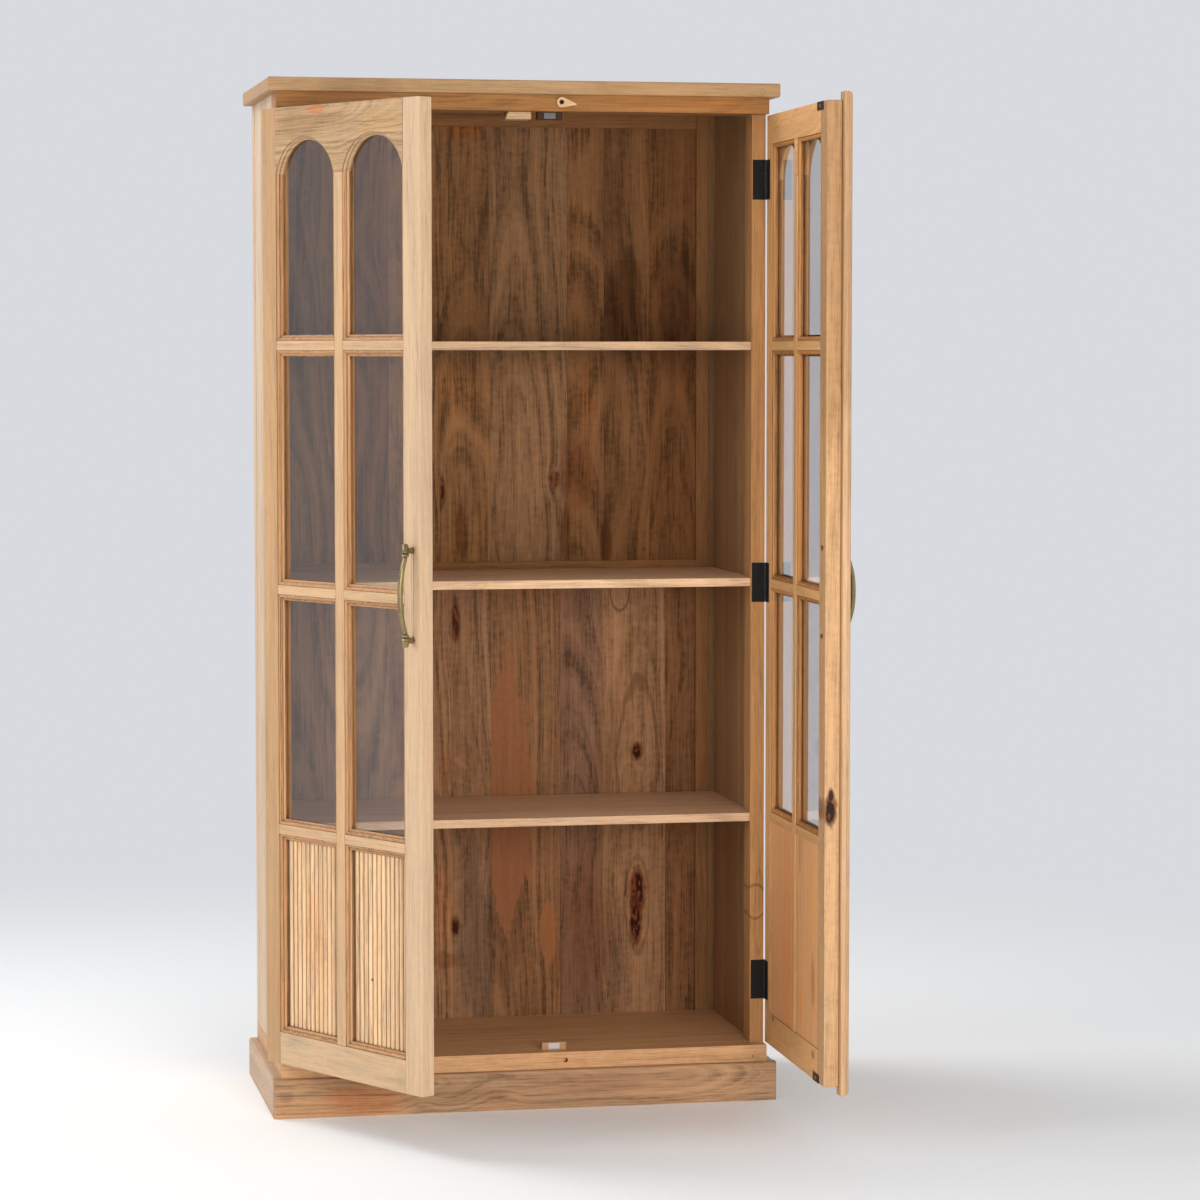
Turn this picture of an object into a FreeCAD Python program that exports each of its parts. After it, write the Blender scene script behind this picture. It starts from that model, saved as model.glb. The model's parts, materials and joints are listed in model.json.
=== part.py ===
import FreeCAD, Part

import math
import os
import re

import Sketcher
from FreeCAD import Placement, Rotation, Vector

# A tall display cabinet in pale wood, with two overlay doors that swing on butt hinges.
# Millimetres. +X is to the right, +Y to the back and +Z up, and the origin is on the floor, in the
# middle of the plinth's back edge. The doors are drawn closed, about their own hinge line, and
# hung on it at the opening that they rest at.

# Driving sizes, one cell each

SIZES = {
    # Whole cabinet
    "cabinet_height": 1800,
    "carcass_width": 868,
    "carcass_depth": 405,
    # Top board, frieze and the rail behind it
    "top_thickness": 24,
    "top_overhang": 16,
    "top_edge_round": 3,
    "frieze_height": 28,
    "frieze_thickness": 26,
    # Plinth and floor board
    "plinth_height": 68,
    "plinth_thickness": 22,
    "plinth_projection": 15,
    "plinth_edge_round": 4,
    "floor_thickness": 29,
    "floor_hole_place": 69,
    "floor_hole_radius": 4.2,
    "floor_hole_depth": 14,
    # Posts and side boards
    "post_width": 25,
    "post_depth": 47,
    "side_board_thickness": 13,
    "side_board_setback": 1,
    "side_board_count": 3,
    # Shelves, by their undersides: two above the floor and one below the arches of the doors
    "shelf_thickness": 15,
    "shelf_setback": 2,
    "lower_shelf_height": 495.5,
    "middle_shelf_height": 915.5,
    "upper_shelf_drop": 298,
    # Back frame and its boards
    "back_inset": 17,
    "back_frame_thickness": 22,
    "back_top_rail_height": 34,
    "back_middle_rail_height": 36,
    "back_middle_rail_drop": 6.5,
    "back_stile_width": 24,
    "back_rebate_width": 8,
    "back_board_recess": 7,
    "back_board_thickness": 10,
    # Doors
    "door_thickness": 26,
    "door_back_gap": 0.5,
    "door_end_gap": 2,
    "door_seam": 1,
    "hinge_stile_width": 38,
    "meeting_stile_width": 44,
    "upright_bar_width": 22.5,
    "cross_bar_height": 16.3,
    "bottom_rail_height": 56,
    "arch_rail_height": 114,
    "arch_rise": 63,
    "lower_bar_rise": 6,
    "left_door_angle": 60,
    "right_door_angle": 89.5,
    # Mouldings round the openings
    "moulding_width": 10,
    "moulding_depth": 12,
    "moulding_crown_width": 6,
    "moulding_quirk": 1.5,
    "moulding_step": 4,
    "moulding_outer_bevel": 2.4,
    "moulding_inner_bevel": 2,
    # Panes, beads and reeded panels
    "pane_thickness": 4,
    "pane_clearance": 0.5,
    "bead_width": 7,
    "bead_depth": 8,
    "bead_bevel": 2.5,
    "panel_thickness": 12,
    "reed_count": 12,
    "reed_height": 3.8,
    "reed_gap": 0.8,
    # Hinges
    "hinge_pin_offset": 2,
    "hinge_leaf_height": 70,
    "hinge_leaf_width": 23,
    "hinge_leaf_thickness": 1.5,
    "hinge_barrel_radius": 4,
    "hinge_pin_radius": 1.8,
    "hinge_running_clearance": 0.05,
    "hinge_knuckle_count": 3,
    "hinge_knuckle_gap": 0.4,
    "hinge_notch_clearance": 0.35,
    "hinge_end_distance": 77,
    # Bow handles
    "handle_inset": 21,
    "handle_height": 931,
    "handle_spacing": 148,
    "handle_standoff": 15.5,
    "handle_bow_rise": 10.5,
    "handle_bow_radius": 5,
    "handle_post_radius": 5,
    "handle_finial_radius": 5.6,
    "handle_ring_radius": 6.3,
    "handle_ring_thickness": 3.2,
    "handle_rings_length": 17.8,
    "handle_finial_length": 11.5,
    "handle_screw_radius": 2,
    "handle_screw_clearance": 0.05,
    "handle_screw_head_radius": 4,
    "handle_screw_head_height": 2,
    "handle_thread_length": 8,
    # Cover strip on the right door's meeting edge
    "strip_width": 26,
    "strip_lip": 12,
    "strip_base_thickness": 8,
    "strip_bead_width": 16,
    "strip_bead_height": 9,
    "strip_relief": 0.4,
    "strip_extension": 14,
    "strip_end_round": 8,
    # Magnetic catches, strike plates and door stop
    "catch_width": 44,
    "catch_depth": 14,
    "catch_height": 13,
    "catch_end_round": 2,
    "catch_gap": 0.3,
    "catch_magnet_width": 20,
    "catch_wall": 1.5,
    "top_catch_place": 47,
    "bottom_catch_place": 53,
    "strike_width": 40,
    "strike_height": 14,
    "strike_thickness": 1.2,
    "stop_place": 9,
    "stop_width": 46,
    "stop_depth": 38,
    "stop_height": 13,
    "stop_slant": 5,
    # Turn button on the frieze
    "button_place": 62,
    "button_drop": 12.7,
    "button_radius": 8.8,
    "button_length": 30,
    "button_thickness": 7,
    "button_tip_round": 1.5,
    "button_standoff": 0.8,
    "button_rest_angle": 8,
    "button_bore_radius": 2.1,
    "button_recess_radius": 4.3,
    "button_recess_depth": 3.5,
    "button_screw_clearance": 0.05,
    "button_screw_head_radius": 3.7,
    "button_screw_head_height": 1.6,
    "button_screw_length": 16,
    # One overrun for every cut
    "cut_overrun": 2,
}

# Places that follow from the sizes. Those of a door run from its hinge line, with the door closed.

PLACES = {
    "front_plane": "0 - carcass_depth",
    "back_plane": "0",
    "side_plane": "carcass_width / 2",
    "post_plane": "front_plane + frieze_thickness",
    "post_inner": "side_plane - post_width",
    "post_rear": "post_plane + post_depth",
    "side_board_outer": "side_plane - side_board_setback",
    "side_board_inner": "side_board_outer - side_board_thickness",
    "plinth_outer": "side_plane + plinth_projection",
    "plinth_front": "front_plane - plinth_projection",
    "floor_top": "plinth_height + floor_thickness",
    "top_underside": "cabinet_height - top_thickness",
    "frieze_bottom": "top_underside - frieze_height",
    "shelf_front": "post_plane + shelf_setback",
    "back_frame_rear": "back_plane - back_inset",
    "back_frame_front": "back_frame_rear - back_frame_thickness",
    "back_board_front": "back_frame_front + back_board_recess",
    "back_stile_inner": "post_inner - back_stile_width",
    "back_board_side": "back_stile_inner + back_rebate_width",
    "back_middle_rail_bottom": "middle_shelf_height - back_middle_rail_drop",
    "back_middle_rail_top": "back_middle_rail_bottom + back_middle_rail_height",
    "back_top_rail_bottom": "top_underside - back_top_rail_height",
    "hinge_side": "side_plane + hinge_pin_offset",
    "hinge_line": "post_plane - door_back_gap / 2",
    "door_inner_face": "0 - door_back_gap / 2",
    "door_face": "door_inner_face - door_thickness",
    "door_bottom": "floor_top + door_end_gap",
    "door_top": "frieze_bottom - door_end_gap",
    "door_free_edge": "hinge_pin_offset + side_plane - door_seam",
    "stile_inner": "hinge_pin_offset + hinge_stile_width",
    "meeting_inner": "door_free_edge - meeting_stile_width",
    "upright_near": "(stile_inner + meeting_inner - upright_bar_width) / 2",
    "upright_far": "(stile_inner + meeting_inner + upright_bar_width) / 2",
    "rail_top": "door_bottom + bottom_rail_height",
    "spring_height": "door_top - arch_rail_height",
    "arch_apex": "spring_height + arch_rise",
    "upper_shelf_height": "spring_height - upper_shelf_drop",
    "lower_bar_centre": "lower_shelf_height + shelf_thickness / 2 + lower_bar_rise",
    "middle_bar_centre": "middle_shelf_height + shelf_thickness / 2",
    "upper_bar_centre": "upper_shelf_height + shelf_thickness / 2",
    "moulding_back": "door_face + moulding_depth",
    "pane_back": "moulding_back + pane_thickness",
    "hinge_leaf_end": "hinge_pin_offset + hinge_leaf_width",
    "hinge_notch_reach": "hinge_barrel_radius + hinge_notch_clearance",
    "hinge_notch_depth": "hinge_notch_reach - door_back_gap / 2",
    "handle_place": "door_free_edge - handle_inset",
    "handle_axis": "door_face - handle_standoff",
    "handle_bow_end": "(handle_spacing - handle_rings_length) / 2",
    "strip_inner": "door_free_edge + strip_lip - strip_width",
    "strip_outer": "door_free_edge + strip_lip",
    "strip_centre": "(strip_inner + strip_outer) / 2",
    "strip_base_face": "door_face - strip_base_thickness",
    "strip_face": "strip_base_face - strip_bead_height",
    "catch_face": "hinge_line + door_inner_face + strike_thickness + catch_gap",
    "button_height": "top_underside - button_drop",
}

# Shares of the sizes that they follow

step_share = 0.55
finial_neck_share = 0.86
finial_step_shares = (-0.2, -0.2, 0.9, 1.3, 1.7, 2.8, 2.8)
dome_width_shares = (1, 0.78, 0.4, 0)
dome_drop_shares = (0.5, 0.16, 0, 0)
bow_station_shares = (1, 0.92, 0.84, 0.72, 0.6, 0.46, 0.32, 0.16, 0)
bow_rise_shares = (0, 0.07, 0.24, 0.45, 0.62, 0.79, 0.905, 0.975, 1)
bow_radius_shares = (0.8, 0.8, 0.82, 0.88, 0.93, 0.97, 1, 1, 1)
bow_flute_shares = (0, 0, 0, 0.5, 1, 1, 1, 1, 1)
fluted_section_shares = (1.04, 0.72, 1, 0.96, 0.9, 0.84, 0.82)
upper_joint_shares = (0, 0.14, 0.26, 0.378, 0.497, 0.682, 0.77, 0.879, 1)
lower_joint_shares = (0, 0.11, 0.26, 0.408, 0.499, 0.578, 0.664, 0.765, 0.919, 1)

doc = FreeCAD.newDocument("GlassCabinet")
sheet = doc.addObject("Spreadsheet::Sheet", "Sizes")
for row, (size_name, size_value) in enumerate(SIZES.items(), start=1):
    sheet.set(f"A{row}", size_name)
    sheet.set(f"B{row}", str(size_value))
    sheet.setAlias(f"B{row}", size_name)
doc.recompute()

match_tolerance = 0.0001
full_turn = 360
pieces = []


# Formulas and bound properties

def formula(text):
    """Write a text in named sizes and places as one that reads the sheet's cells."""
    def spell(found):
        word = found.group(0)
        if word in PLACES:
            return f"({formula(PLACES[word])})"
        return f"Sizes.{word}" if word in SIZES else word
    return re.sub(r"[a-z_]+", spell, str(text))


def worth(text):
    """The number that a text in named sizes and places comes to."""
    return float(sheet.evalExpression(formula(text)))


def bind(thing, **properties):
    """Bind properties of an object to the sheet; two underscores stand for a full stop."""
    for name, text in properties.items():
        thing.setExpression(name.replace("__", "."), formula(text))


def keep(piece):
    """Count an object as one of the sub-parts that are written out."""
    pieces.append(piece)
    return piece


# Sketches and features

def add_edge(sketch, start, end):
    """Draw the line, or the arc where the start names one, from one corner to the next."""
    here = Vector(worth(start[0]), worth(start[1]), 0)
    there = Vector(worth(end[0]), worth(end[1]), 0)
    if len(start) == 2:
        return sketch.addGeometry(Part.LineSegment(here, there), False)
    middle = Vector(worth(start[2]), worth(start[3]), 0)
    edge = sketch.addGeometry(Part.Arc(here, middle, there), False)
    held = sketch.addConstraint(Sketcher.Constraint("Radius", edge, worth(start[4])))
    sketch.setExpression(f"Constraints[{held}]", formula(start[4]))
    return edge


def starts_at_first_point(sketch, edge, start):
    """Whether an edge's own first point is the corner that it was drawn from."""
    first = sketch.getPoint(edge, 1)
    return abs(first.x - worth(start[0])) + abs(first.y - worth(start[1])) < match_tolerance


def draw_loop(sketch, corners):
    """Draw a closed outline and hold each corner at its distances from the origin."""
    ends = corners[1:] + corners[:1]
    edges = [add_edge(sketch, start, end) for start, end in zip(corners, ends)]
    firsts = [1 if starts_at_first_point(sketch, edge, corner) else 2
              for edge, corner in zip(edges, corners)]
    lasts = [3 - first for first in firsts]
    for place in range(len(edges)):
        after = (place + 1) % len(edges)
        joint = Sketcher.Constraint("Coincident", edges[place], lasts[place], edges[after], firsts[after])
        sketch.addConstraint(joint)
    for edge, first, corner in zip(edges, firsts, corners):
        for kind, text in (("DistanceX", corner[0]), ("DistanceY", corner[1])):
            held = sketch.addConstraint(Sketcher.Constraint(kind, -1, 1, edge, first, worth(text)))
            sketch.setExpression(f"Constraints[{held}]", formula(text))


def draw_circle(sketch, across, along, radius):
    """Draw a circle with its centre and radius held."""
    centre = Vector(worth(across), worth(along), 0)
    ring = sketch.addGeometry(Part.Circle(centre, Vector(0, 0, 1), worth(radius)), False)
    for kind, text in (("DistanceX", across), ("DistanceY", along)):
        held = sketch.addConstraint(Sketcher.Constraint(kind, -1, 1, ring, 3, worth(text)))
        sketch.setExpression(f"Constraints[{held}]", formula(text))
    held = sketch.addConstraint(Sketcher.Constraint("Radius", ring, worth(radius)))
    sketch.setExpression(f"Constraints[{held}]", formula(radius))


def new_body(name):
    """Start a body."""
    return doc.addObject("PartDesign::Body", name)


def new_sketch(body, plane, along_normal, loops=(), circles=(), shift=("0", "0")):
    """Put a sketch on one of the body's origin planes, moved along the plane's normal."""
    base = next(part for part in body.Origin.OriginFeatures if part.Role == plane)
    sketch = body.newObject("Sketcher::SketchObject", f"{body.Name}_outline")
    sketch.AttachmentSupport = [(base, "")]
    sketch.MapMode = "FlatFace"
    bind(sketch, AttachmentOffset__Base__x=shift[0], AttachmentOffset__Base__y=shift[1],
         AttachmentOffset__Base__z=along_normal)
    for loop in loops:
        draw_loop(sketch, loop)
    for circle in circles:
        draw_circle(sketch, *circle)
    return sketch


def front_sketch(body, depth, loops=(), circles=(), shift=("0", "0")):
    """A sketch seen from the front, at a place along Y; its normal points to the front."""
    return new_sketch(body, "XZ_Plane", f"0 - ({depth})", loops, circles, shift)


def pad(body, sketch, length):
    """Grow a sketch along its normal."""
    feature = body.newObject("PartDesign::Pad", f"{body.Name}_pad")
    feature.Profile = sketch
    bind(feature, Length=length)
    doc.recompute()
    return feature


def cut(body, sketch, depth, forward=False):
    """Cut a sketch into the body, against its normal or along it, and see that it cut."""
    before = body.Shape.Volume
    feature = body.newObject("PartDesign::Pocket", f"{body.Name}_cut")
    feature.Profile = sketch
    feature.Reversed = forward
    bind(feature, Length=depth)
    doc.recompute()
    if not body.Shape.Volume < before:
        raise RuntimeError(f"{body.Name}: a cut took nothing away")
    return feature


def turn(body, sketch):
    """Turn a sketch about its own upright axis."""
    feature = body.newObject("PartDesign::Revolution", f"{body.Name}_turned")
    feature.Profile = sketch
    feature.ReferenceAxis = (sketch, ["V_Axis"])
    feature.Angle = full_turn
    doc.recompute()
    return feature


def picked_edges(body, wanted):
    """The body's last feature with the names of its edges that the test picks."""
    last = body.Tip
    names = [f"Edge{place}" for place, edge in enumerate(last.Shape.Edges, start=1)
             if wanted(edge.BoundBox)]
    if not names:
        raise RuntimeError(f"{body.Name}: no edge was picked")
    return last, names


def round_edges(body, radius, wanted):
    """Round the edges of the body's last feature that the test picks."""
    base = picked_edges(body, wanted)
    feature = body.newObject("PartDesign::Fillet", f"{body.Name}_round")
    feature.Base = base
    bind(feature, Radius=radius)
    doc.recompute()
    return feature


def bevel_edges(body, size, wanted):
    """Bevel the edges of the body's last feature that the test picks."""
    base = picked_edges(body, wanted)
    feature = body.newObject("PartDesign::Chamfer", f"{body.Name}_bevel")
    feature.Base = base
    bind(feature, Size=size)
    doc.recompute()
    return feature


def near(value, text):
    """Whether a coordinate is at a named place."""
    return abs(value - worth(text)) < match_tolerance


def rectangle(left, low, right, high):
    """The four corners of a rectangle."""
    return [(left, low), (right, low), (right, high), (left, high)]


def plank(name, left, right, front, rear, low, high):
    """A plain board of the carcass."""
    board = doc.addObject("Part::Box", name)
    bind(board, Length=f"({right}) - ({left})", Width=f"({rear}) - ({front})", Height=f"({high}) - ({low})",
         Placement__Base__x=left, Placement__Base__y=front, Placement__Base__z=low)
    return board


def group(name, members):
    """Like pieces kept together as separate solids."""
    together = doc.addObject("Part::Compound", name)
    together.Links = members
    return together


# Top board, frieze and the rail behind it

def make_top():
    """The top board, its front and side edges rounded over."""
    body = new_body("top_board")
    side = "side_plane + top_overhang"
    front = "front_plane - top_overhang"
    loop = rectangle(f"0 - ({side})", front, side, "back_plane")
    pad(body, new_sketch(body, "XY_Plane", "top_underside", [loop]), "top_thickness")
    round_edges(body, "top_edge_round",
                lambda box: not near(box.YMin, "back_plane") and box.ZLength < match_tolerance)
    return keep(body)


def make_frieze():
    """The frieze in front of the posts, with the pilot hole of the turn button's screw."""
    body = new_body("frieze_rail")
    loop = rectangle("0 - side_plane", "frieze_bottom", "side_plane", "top_underside")
    pad(body, front_sketch(body, "post_plane", [loop]), "frieze_thickness")
    pilot = ("button_place", "button_height", "button_bore_radius")
    cut(body, front_sketch(body, "front_plane", circles=[pilot]), "button_screw_length")
    keep(body)
    keep(plank("top_front_rail", "0 - post_inner", "post_inner", "post_plane", "post_rear",
               "frieze_bottom", "top_underside"))


# Plinth and floor board

def make_plinth():
    """Four boards on edge; the front one runs the full width and the sides butt behind it."""
    front = new_body("front_plinth_board")
    loop = rectangle("0 - plinth_outer", "0", "plinth_outer", "plinth_height")
    pad(front, front_sketch(front, "plinth_front + plinth_thickness", [loop]), "plinth_thickness")
    round_edges(front, "plinth_edge_round",
                lambda box: near(box.YMin, "plinth_front") and near(box.YMax, "plinth_front")
                and box.ZMax > worth("plinth_height") / 2)
    keep(front)
    for name, side in (("left_plinth_board", -1), ("right_plinth_board", 1)):
        body = new_body(name)
        loop = rectangle(f"{side} * plinth_outer", "plinth_front + plinth_thickness",
                         f"{side} * (plinth_outer - plinth_thickness)", "back_plane")
        pad(body, new_sketch(body, "XY_Plane", "0", [loop]), "plinth_height")
        outer = f"{side} * plinth_outer"
        round_edges(body, "plinth_edge_round",
                    lambda box: near(box.XMin, outer) and near(box.XMax, outer)
                    and near(box.ZMin, "plinth_height"))
        keep(body)
    inside = "plinth_outer - plinth_thickness"
    keep(plank("back_plinth_board", f"0 - ({inside})", inside,
               "back_plane - plinth_thickness", "back_plane", "0", "plinth_height"))


def make_floor():
    """The floor board, its front edge showing under the doors, with a blind hole in that edge."""
    body = new_body("floor_board")
    loop = rectangle("0 - side_plane", "front_plane", "side_plane", "back_plane")
    pad(body, new_sketch(body, "XY_Plane", "plinth_height", [loop]), "floor_thickness")
    hole = ("floor_hole_place", "plinth_height + floor_thickness / 2", "floor_hole_radius")
    cut(body, front_sketch(body, "front_plane", circles=[hole]), "floor_hole_depth")
    return keep(body)


# Posts and side boards

def hinge_low_edges():
    """The undersides of the three hinge leaves of a door."""
    low = "door_bottom + hinge_end_distance"
    high = "door_top - hinge_end_distance - hinge_leaf_height"
    return [low, f"(({low}) + ({high})) / 2", high]


def hinge_notches(left, right):
    """Corners of the notches for the barrels, a little longer than the barrels themselves."""
    return [rectangle(left, f"{low} - hinge_notch_clearance",
                      right, f"{low} + hinge_leaf_height + hinge_notch_clearance")
            for low in hinge_low_edges()]


def make_posts(name, side):
    """A front post, let in for its hinge leaves and their barrels, and the rear post."""
    body = new_body(f"{name}_front_post")
    loop = rectangle(f"{side} * side_plane", "post_plane", f"{side} * post_inner", "post_rear")
    pad(body, new_sketch(body, "XY_Plane", "floor_top", [loop]), "top_underside - floor_top")
    recesses = [rectangle(f"{side} * (side_plane + cut_overrun)", low,
                          f"{side} * (post_inner - cut_overrun)", f"{low} + hinge_leaf_height")
                for low in hinge_low_edges()]
    cut(body, front_sketch(body, "post_plane", recesses), "hinge_leaf_thickness")
    notches = hinge_notches(f"{side} * (side_plane + cut_overrun)",
                            f"{side} * (hinge_side - hinge_notch_reach)")
    cut(body, front_sketch(body, "post_plane", notches), "hinge_notch_depth")
    keep(body)
    left, right = ("0 - side_plane", "0 - post_inner") if side < 0 else ("post_inner", "side_plane")
    keep(plank(f"{name}_rear_post", left, right, "back_frame_front", "back_plane",
               "floor_top", "top_underside"))


def make_side_boards(name, side):
    """Upright boards side by side between the front and rear posts."""
    outer, inner = "side_board_outer", "side_board_inner"
    left, right = (f"0 - {outer}", f"0 - {inner}") if side < 0 else (inner, outer)
    width = "(back_frame_front - post_rear) / side_board_count"
    boards = [plank(f"{name}_side_board", left, right, f"post_rear + {place} * {width}",
                    f"post_rear + {place + 1} * {width}", "floor_top", "top_underside")
              for place in range(round(worth("side_board_count")))]
    keep(group(f"{name}_side_boards", boards))


# Shelves

def make_shelf(name, height):
    """A fixed shelf, notched round the front posts."""
    body = new_body(name)
    half = [("post_inner", "shelf_front"), ("post_inner", "post_rear"),
            ("side_board_inner", "post_rear"), ("side_board_inner", "back_frame_front")]
    mirrored = [(f"0 - {across}", along) for across, along in reversed(half)]
    pad(body, new_sketch(body, "XY_Plane", height, [half + mirrored]), "shelf_thickness")
    return keep(body)


# Back frame and its boards

def make_back_stile(name, side):
    """An upright of the back frame, rebated behind for the boards."""
    body = new_body(name)
    corners = [("post_inner", "back_frame_front"), ("back_stile_inner", "back_frame_front"),
               ("back_stile_inner", "back_board_front"), ("back_board_side", "back_board_front"),
               ("back_board_side", "back_frame_rear"), ("post_inner", "back_frame_rear")]
    loop = [(f"{side} * {across}", along) for across, along in corners]
    pad(body, new_sketch(body, "XY_Plane", "floor_top", [loop]), "top_underside - floor_top")
    return keep(body)


def make_back_rail(name, low, high, rebates):
    """A rail of the back frame, rebated behind along the edges that meet boards."""
    body = new_body(name)
    loop = rectangle("0 - back_stile_inner", low, "back_stile_inner", high)
    pad(body, front_sketch(body, "back_frame_rear", [loop]), "back_frame_thickness")
    strips = [rectangle("0 - (back_stile_inner + cut_overrun)", start, "back_stile_inner + cut_overrun", end)
              for start, end in rebates]
    sketch = front_sketch(body, "back_frame_rear", strips)
    cut(body, sketch, "back_frame_thickness - back_board_recess", forward=True)
    return keep(body)


def make_back_boards(name, joint_shares, low, high):
    """Upright boards of uneven width, side by side in the frame's rebates."""
    edges = [f"0 - back_board_side + {share} * 2 * back_board_side" for share in joint_shares]
    boards = [plank(f"{name}_board", left, right,
                    "back_board_front", "back_board_front + back_board_thickness", low, high)
              for left, right in zip(edges, edges[1:])]
    keep(group(name, boards))


def make_back():
    """The framed back with its two groups of boards."""
    make_back_stile("back_left_stile", -1)
    make_back_stile("back_right_stile", 1)
    make_back_rail("back_top_rail", "back_top_rail_bottom", "top_underside",
                   [("back_top_rail_bottom - cut_overrun", "back_top_rail_bottom + back_rebate_width")])
    make_back_rail("back_middle_rail", "back_middle_rail_bottom", "back_middle_rail_top",
                   [("back_middle_rail_bottom - cut_overrun", "back_middle_rail_bottom + back_rebate_width"),
                    ("back_middle_rail_top - back_rebate_width", "back_middle_rail_top + cut_overrun")])
    make_back_boards("upper_back_boards", upper_joint_shares,
                     "back_middle_rail_top - back_rebate_width", "back_top_rail_bottom + back_rebate_width")
    make_back_boards("lower_back_boards", lower_joint_shares,
                     "floor_top", "back_middle_rail_bottom + back_rebate_width")


# Catches, door stop and turn button

def make_catches():
    """Two magnetic catches: one on the floor board and one under the rail behind the frieze."""
    housings = []
    magnets = []
    for name, place, low in (("bottom", "bottom_catch_place", "floor_top"),
                             ("top", "top_catch_place", "frieze_bottom - catch_height")):
        body = new_body(f"{name}_housing")
        left, right = f"{place} - catch_width / 2", f"{place} + catch_width / 2"
        rear = "catch_face + catch_depth"
        loop = rectangle(left, "catch_face", right, rear)
        pad(body, new_sketch(body, "XY_Plane", low, [loop]), "catch_height")
        round_edges(body, "catch_end_round",
                    lambda box: near(box.YMin, "catch_face") and near(box.YMax, "catch_face")
                    and box.ZLength > worth("catch_height") / 2)
        pocket = rectangle(f"{place} - catch_magnet_width / 2", f"{low} + catch_wall",
                           f"{place} + catch_magnet_width / 2", f"{low} + catch_height - catch_wall")
        cut(body, front_sketch(body, "catch_face", [pocket]), "catch_depth - catch_wall")
        housings.append(body)
        magnets.append(plank(f"{name}_magnet", f"{place} - catch_magnet_width / 2",
                             f"{place} + catch_magnet_width / 2", "catch_face",
                             "catch_face + catch_depth - catch_wall", f"{low} + catch_wall",
                             f"{low} + catch_height - catch_wall"))
    keep(group("catch_housings", housings))
    keep(group("catch_magnets", magnets))


def make_stop():
    """The block under the rail that the doors close against, one end cut on a slant."""
    body = new_body("door_stop_block")
    left, right = "0 - stop_place - stop_width / 2", "0 - stop_place + stop_width / 2"
    low, high = "frieze_bottom - stop_height", "frieze_bottom"
    loop = [(left, low), (right, low), (right, high), (f"{left} + stop_slant", high)]
    pad(body, front_sketch(body, "post_plane + stop_depth", [loop]), "stop_depth")
    return keep(body)


def make_turn_button():
    """A teardrop that turns on its screw, drawn about that screw and pointing along +X."""
    body = new_body("turn_button")
    touch = "button_radius * button_radius / button_length"
    rise = "button_radius * sqrt(1 - (button_radius / button_length) ^ 2)"
    loop = [(touch, f"0 - {rise}"), ("button_length", "0"),
            (touch, rise, "0 - button_radius", "0", "button_radius")]
    pad(body, front_sketch(body, "0 - button_standoff", [loop]), "button_thickness")
    tip = "button_length"
    round_edges(body, "button_tip_round", lambda box: near(box.XMin, tip) and near(box.XMax, tip))
    face = "0 - button_standoff - button_thickness"
    cut(body, front_sketch(body, face, circles=[("0", "0", "button_recess_radius")]), "button_recess_depth")
    cut(body, front_sketch(body, face, circles=[("0", "0", "button_bore_radius")]),
        "button_thickness + button_standoff")
    body.Placement = Placement(Vector(0, 0, 0), Rotation(Vector(0, 1, 0), 1))
    bind(body, Placement__Base__x="button_place", Placement__Base__y="front_plane",
         Placement__Base__z="button_height", Placement__Rotation__Angle="button_rest_angle")
    keep(body)
    screw = new_body("turn_button_screw")
    shank = ("button_place", "button_height", "button_bore_radius - button_screw_clearance")
    head = ("button_place", "button_height", "button_screw_head_radius")
    seat = "front_plane - button_standoff - button_thickness + button_recess_depth - button_screw_clearance"
    pad(screw, front_sketch(screw, "front_plane + button_screw_length", circles=[shank]),
        f"front_plane + button_screw_length - ({seat})")
    pad(screw, front_sketch(screw, seat, circles=[head]), "button_screw_head_height")
    keep(screw)


# Hinges

def leaf_section(side, turned):
    """Section of a hinge leaf with its barrel about the hinge line; turned is -1 on the door's leaf."""
    near_face = "door_back_gap / 2"
    far_face = "(door_back_gap / 2 + hinge_leaf_thickness)"
    reach = f"sqrt(hinge_barrel_radius ^ 2 - ({near_face}) ^ 2)"
    back = f"sqrt(hinge_barrel_radius ^ 2 - {far_face} ^ 2)"
    barrel = ("0 - hinge_barrel_radius", "0")
    corners = [("hinge_leaf_end", near_face), (reach, near_face),
               (back, far_face), ("hinge_leaf_end", far_face)]
    loop = [(f"{side} * ({across})", f"{turned} * ({along})") for across, along in corners]
    loop[1] += (f"{side} * ({barrel[0]})", barrel[1], "hinge_barrel_radius")
    return loop


def post_knuckles():
    """The knuckles of the leaf on the post, counted from below."""
    return range(0, round(worth("hinge_knuckle_count")), 2)


def door_knuckles():
    """The knuckles of the leaf on the door."""
    return range(1, round(worth("hinge_knuckle_count")), 2)


def make_leaf(name, side, turned, low, knuckles):
    """A leaf, cut away round the knuckles that belong to the other leaf."""
    body = new_body(name)
    bore = ("0", "0", "hinge_pin_radius + hinge_running_clearance")
    section = new_sketch(body, "XY_Plane", low, [leaf_section(side, turned)], [bore])
    pad(body, section, "hinge_leaf_height")
    pitch = "hinge_leaf_height / hinge_knuckle_count"
    for knuckle in knuckles:
        foot = f"{low} + {knuckle} * {pitch} - hinge_knuckle_gap / 2"
        reach = "hinge_notch_reach"
        notch = rectangle(f"0 - {reach}", f"0 - {reach}", reach, reach)
        sketch = new_sketch(body, "XY_Plane", foot, [notch])
        cut(body, sketch, f"{pitch} + hinge_knuckle_gap", forward=True)
    return body


def make_pin(name, low):
    """A hinge pin, as long as the barrel that it runs through."""
    body = new_body(name)
    section = ("0", "0", "hinge_pin_radius")
    pad(body, new_sketch(body, "XY_Plane", low, circles=[section]), "hinge_leaf_height")
    return body


def stand_on_hinge_line(piece, side):
    """Move a piece drawn about the hinge line to that line, without turning it."""
    bind(piece, Placement__Base__x=f"{0 - side} * hinge_side", Placement__Base__y="hinge_line")


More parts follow.
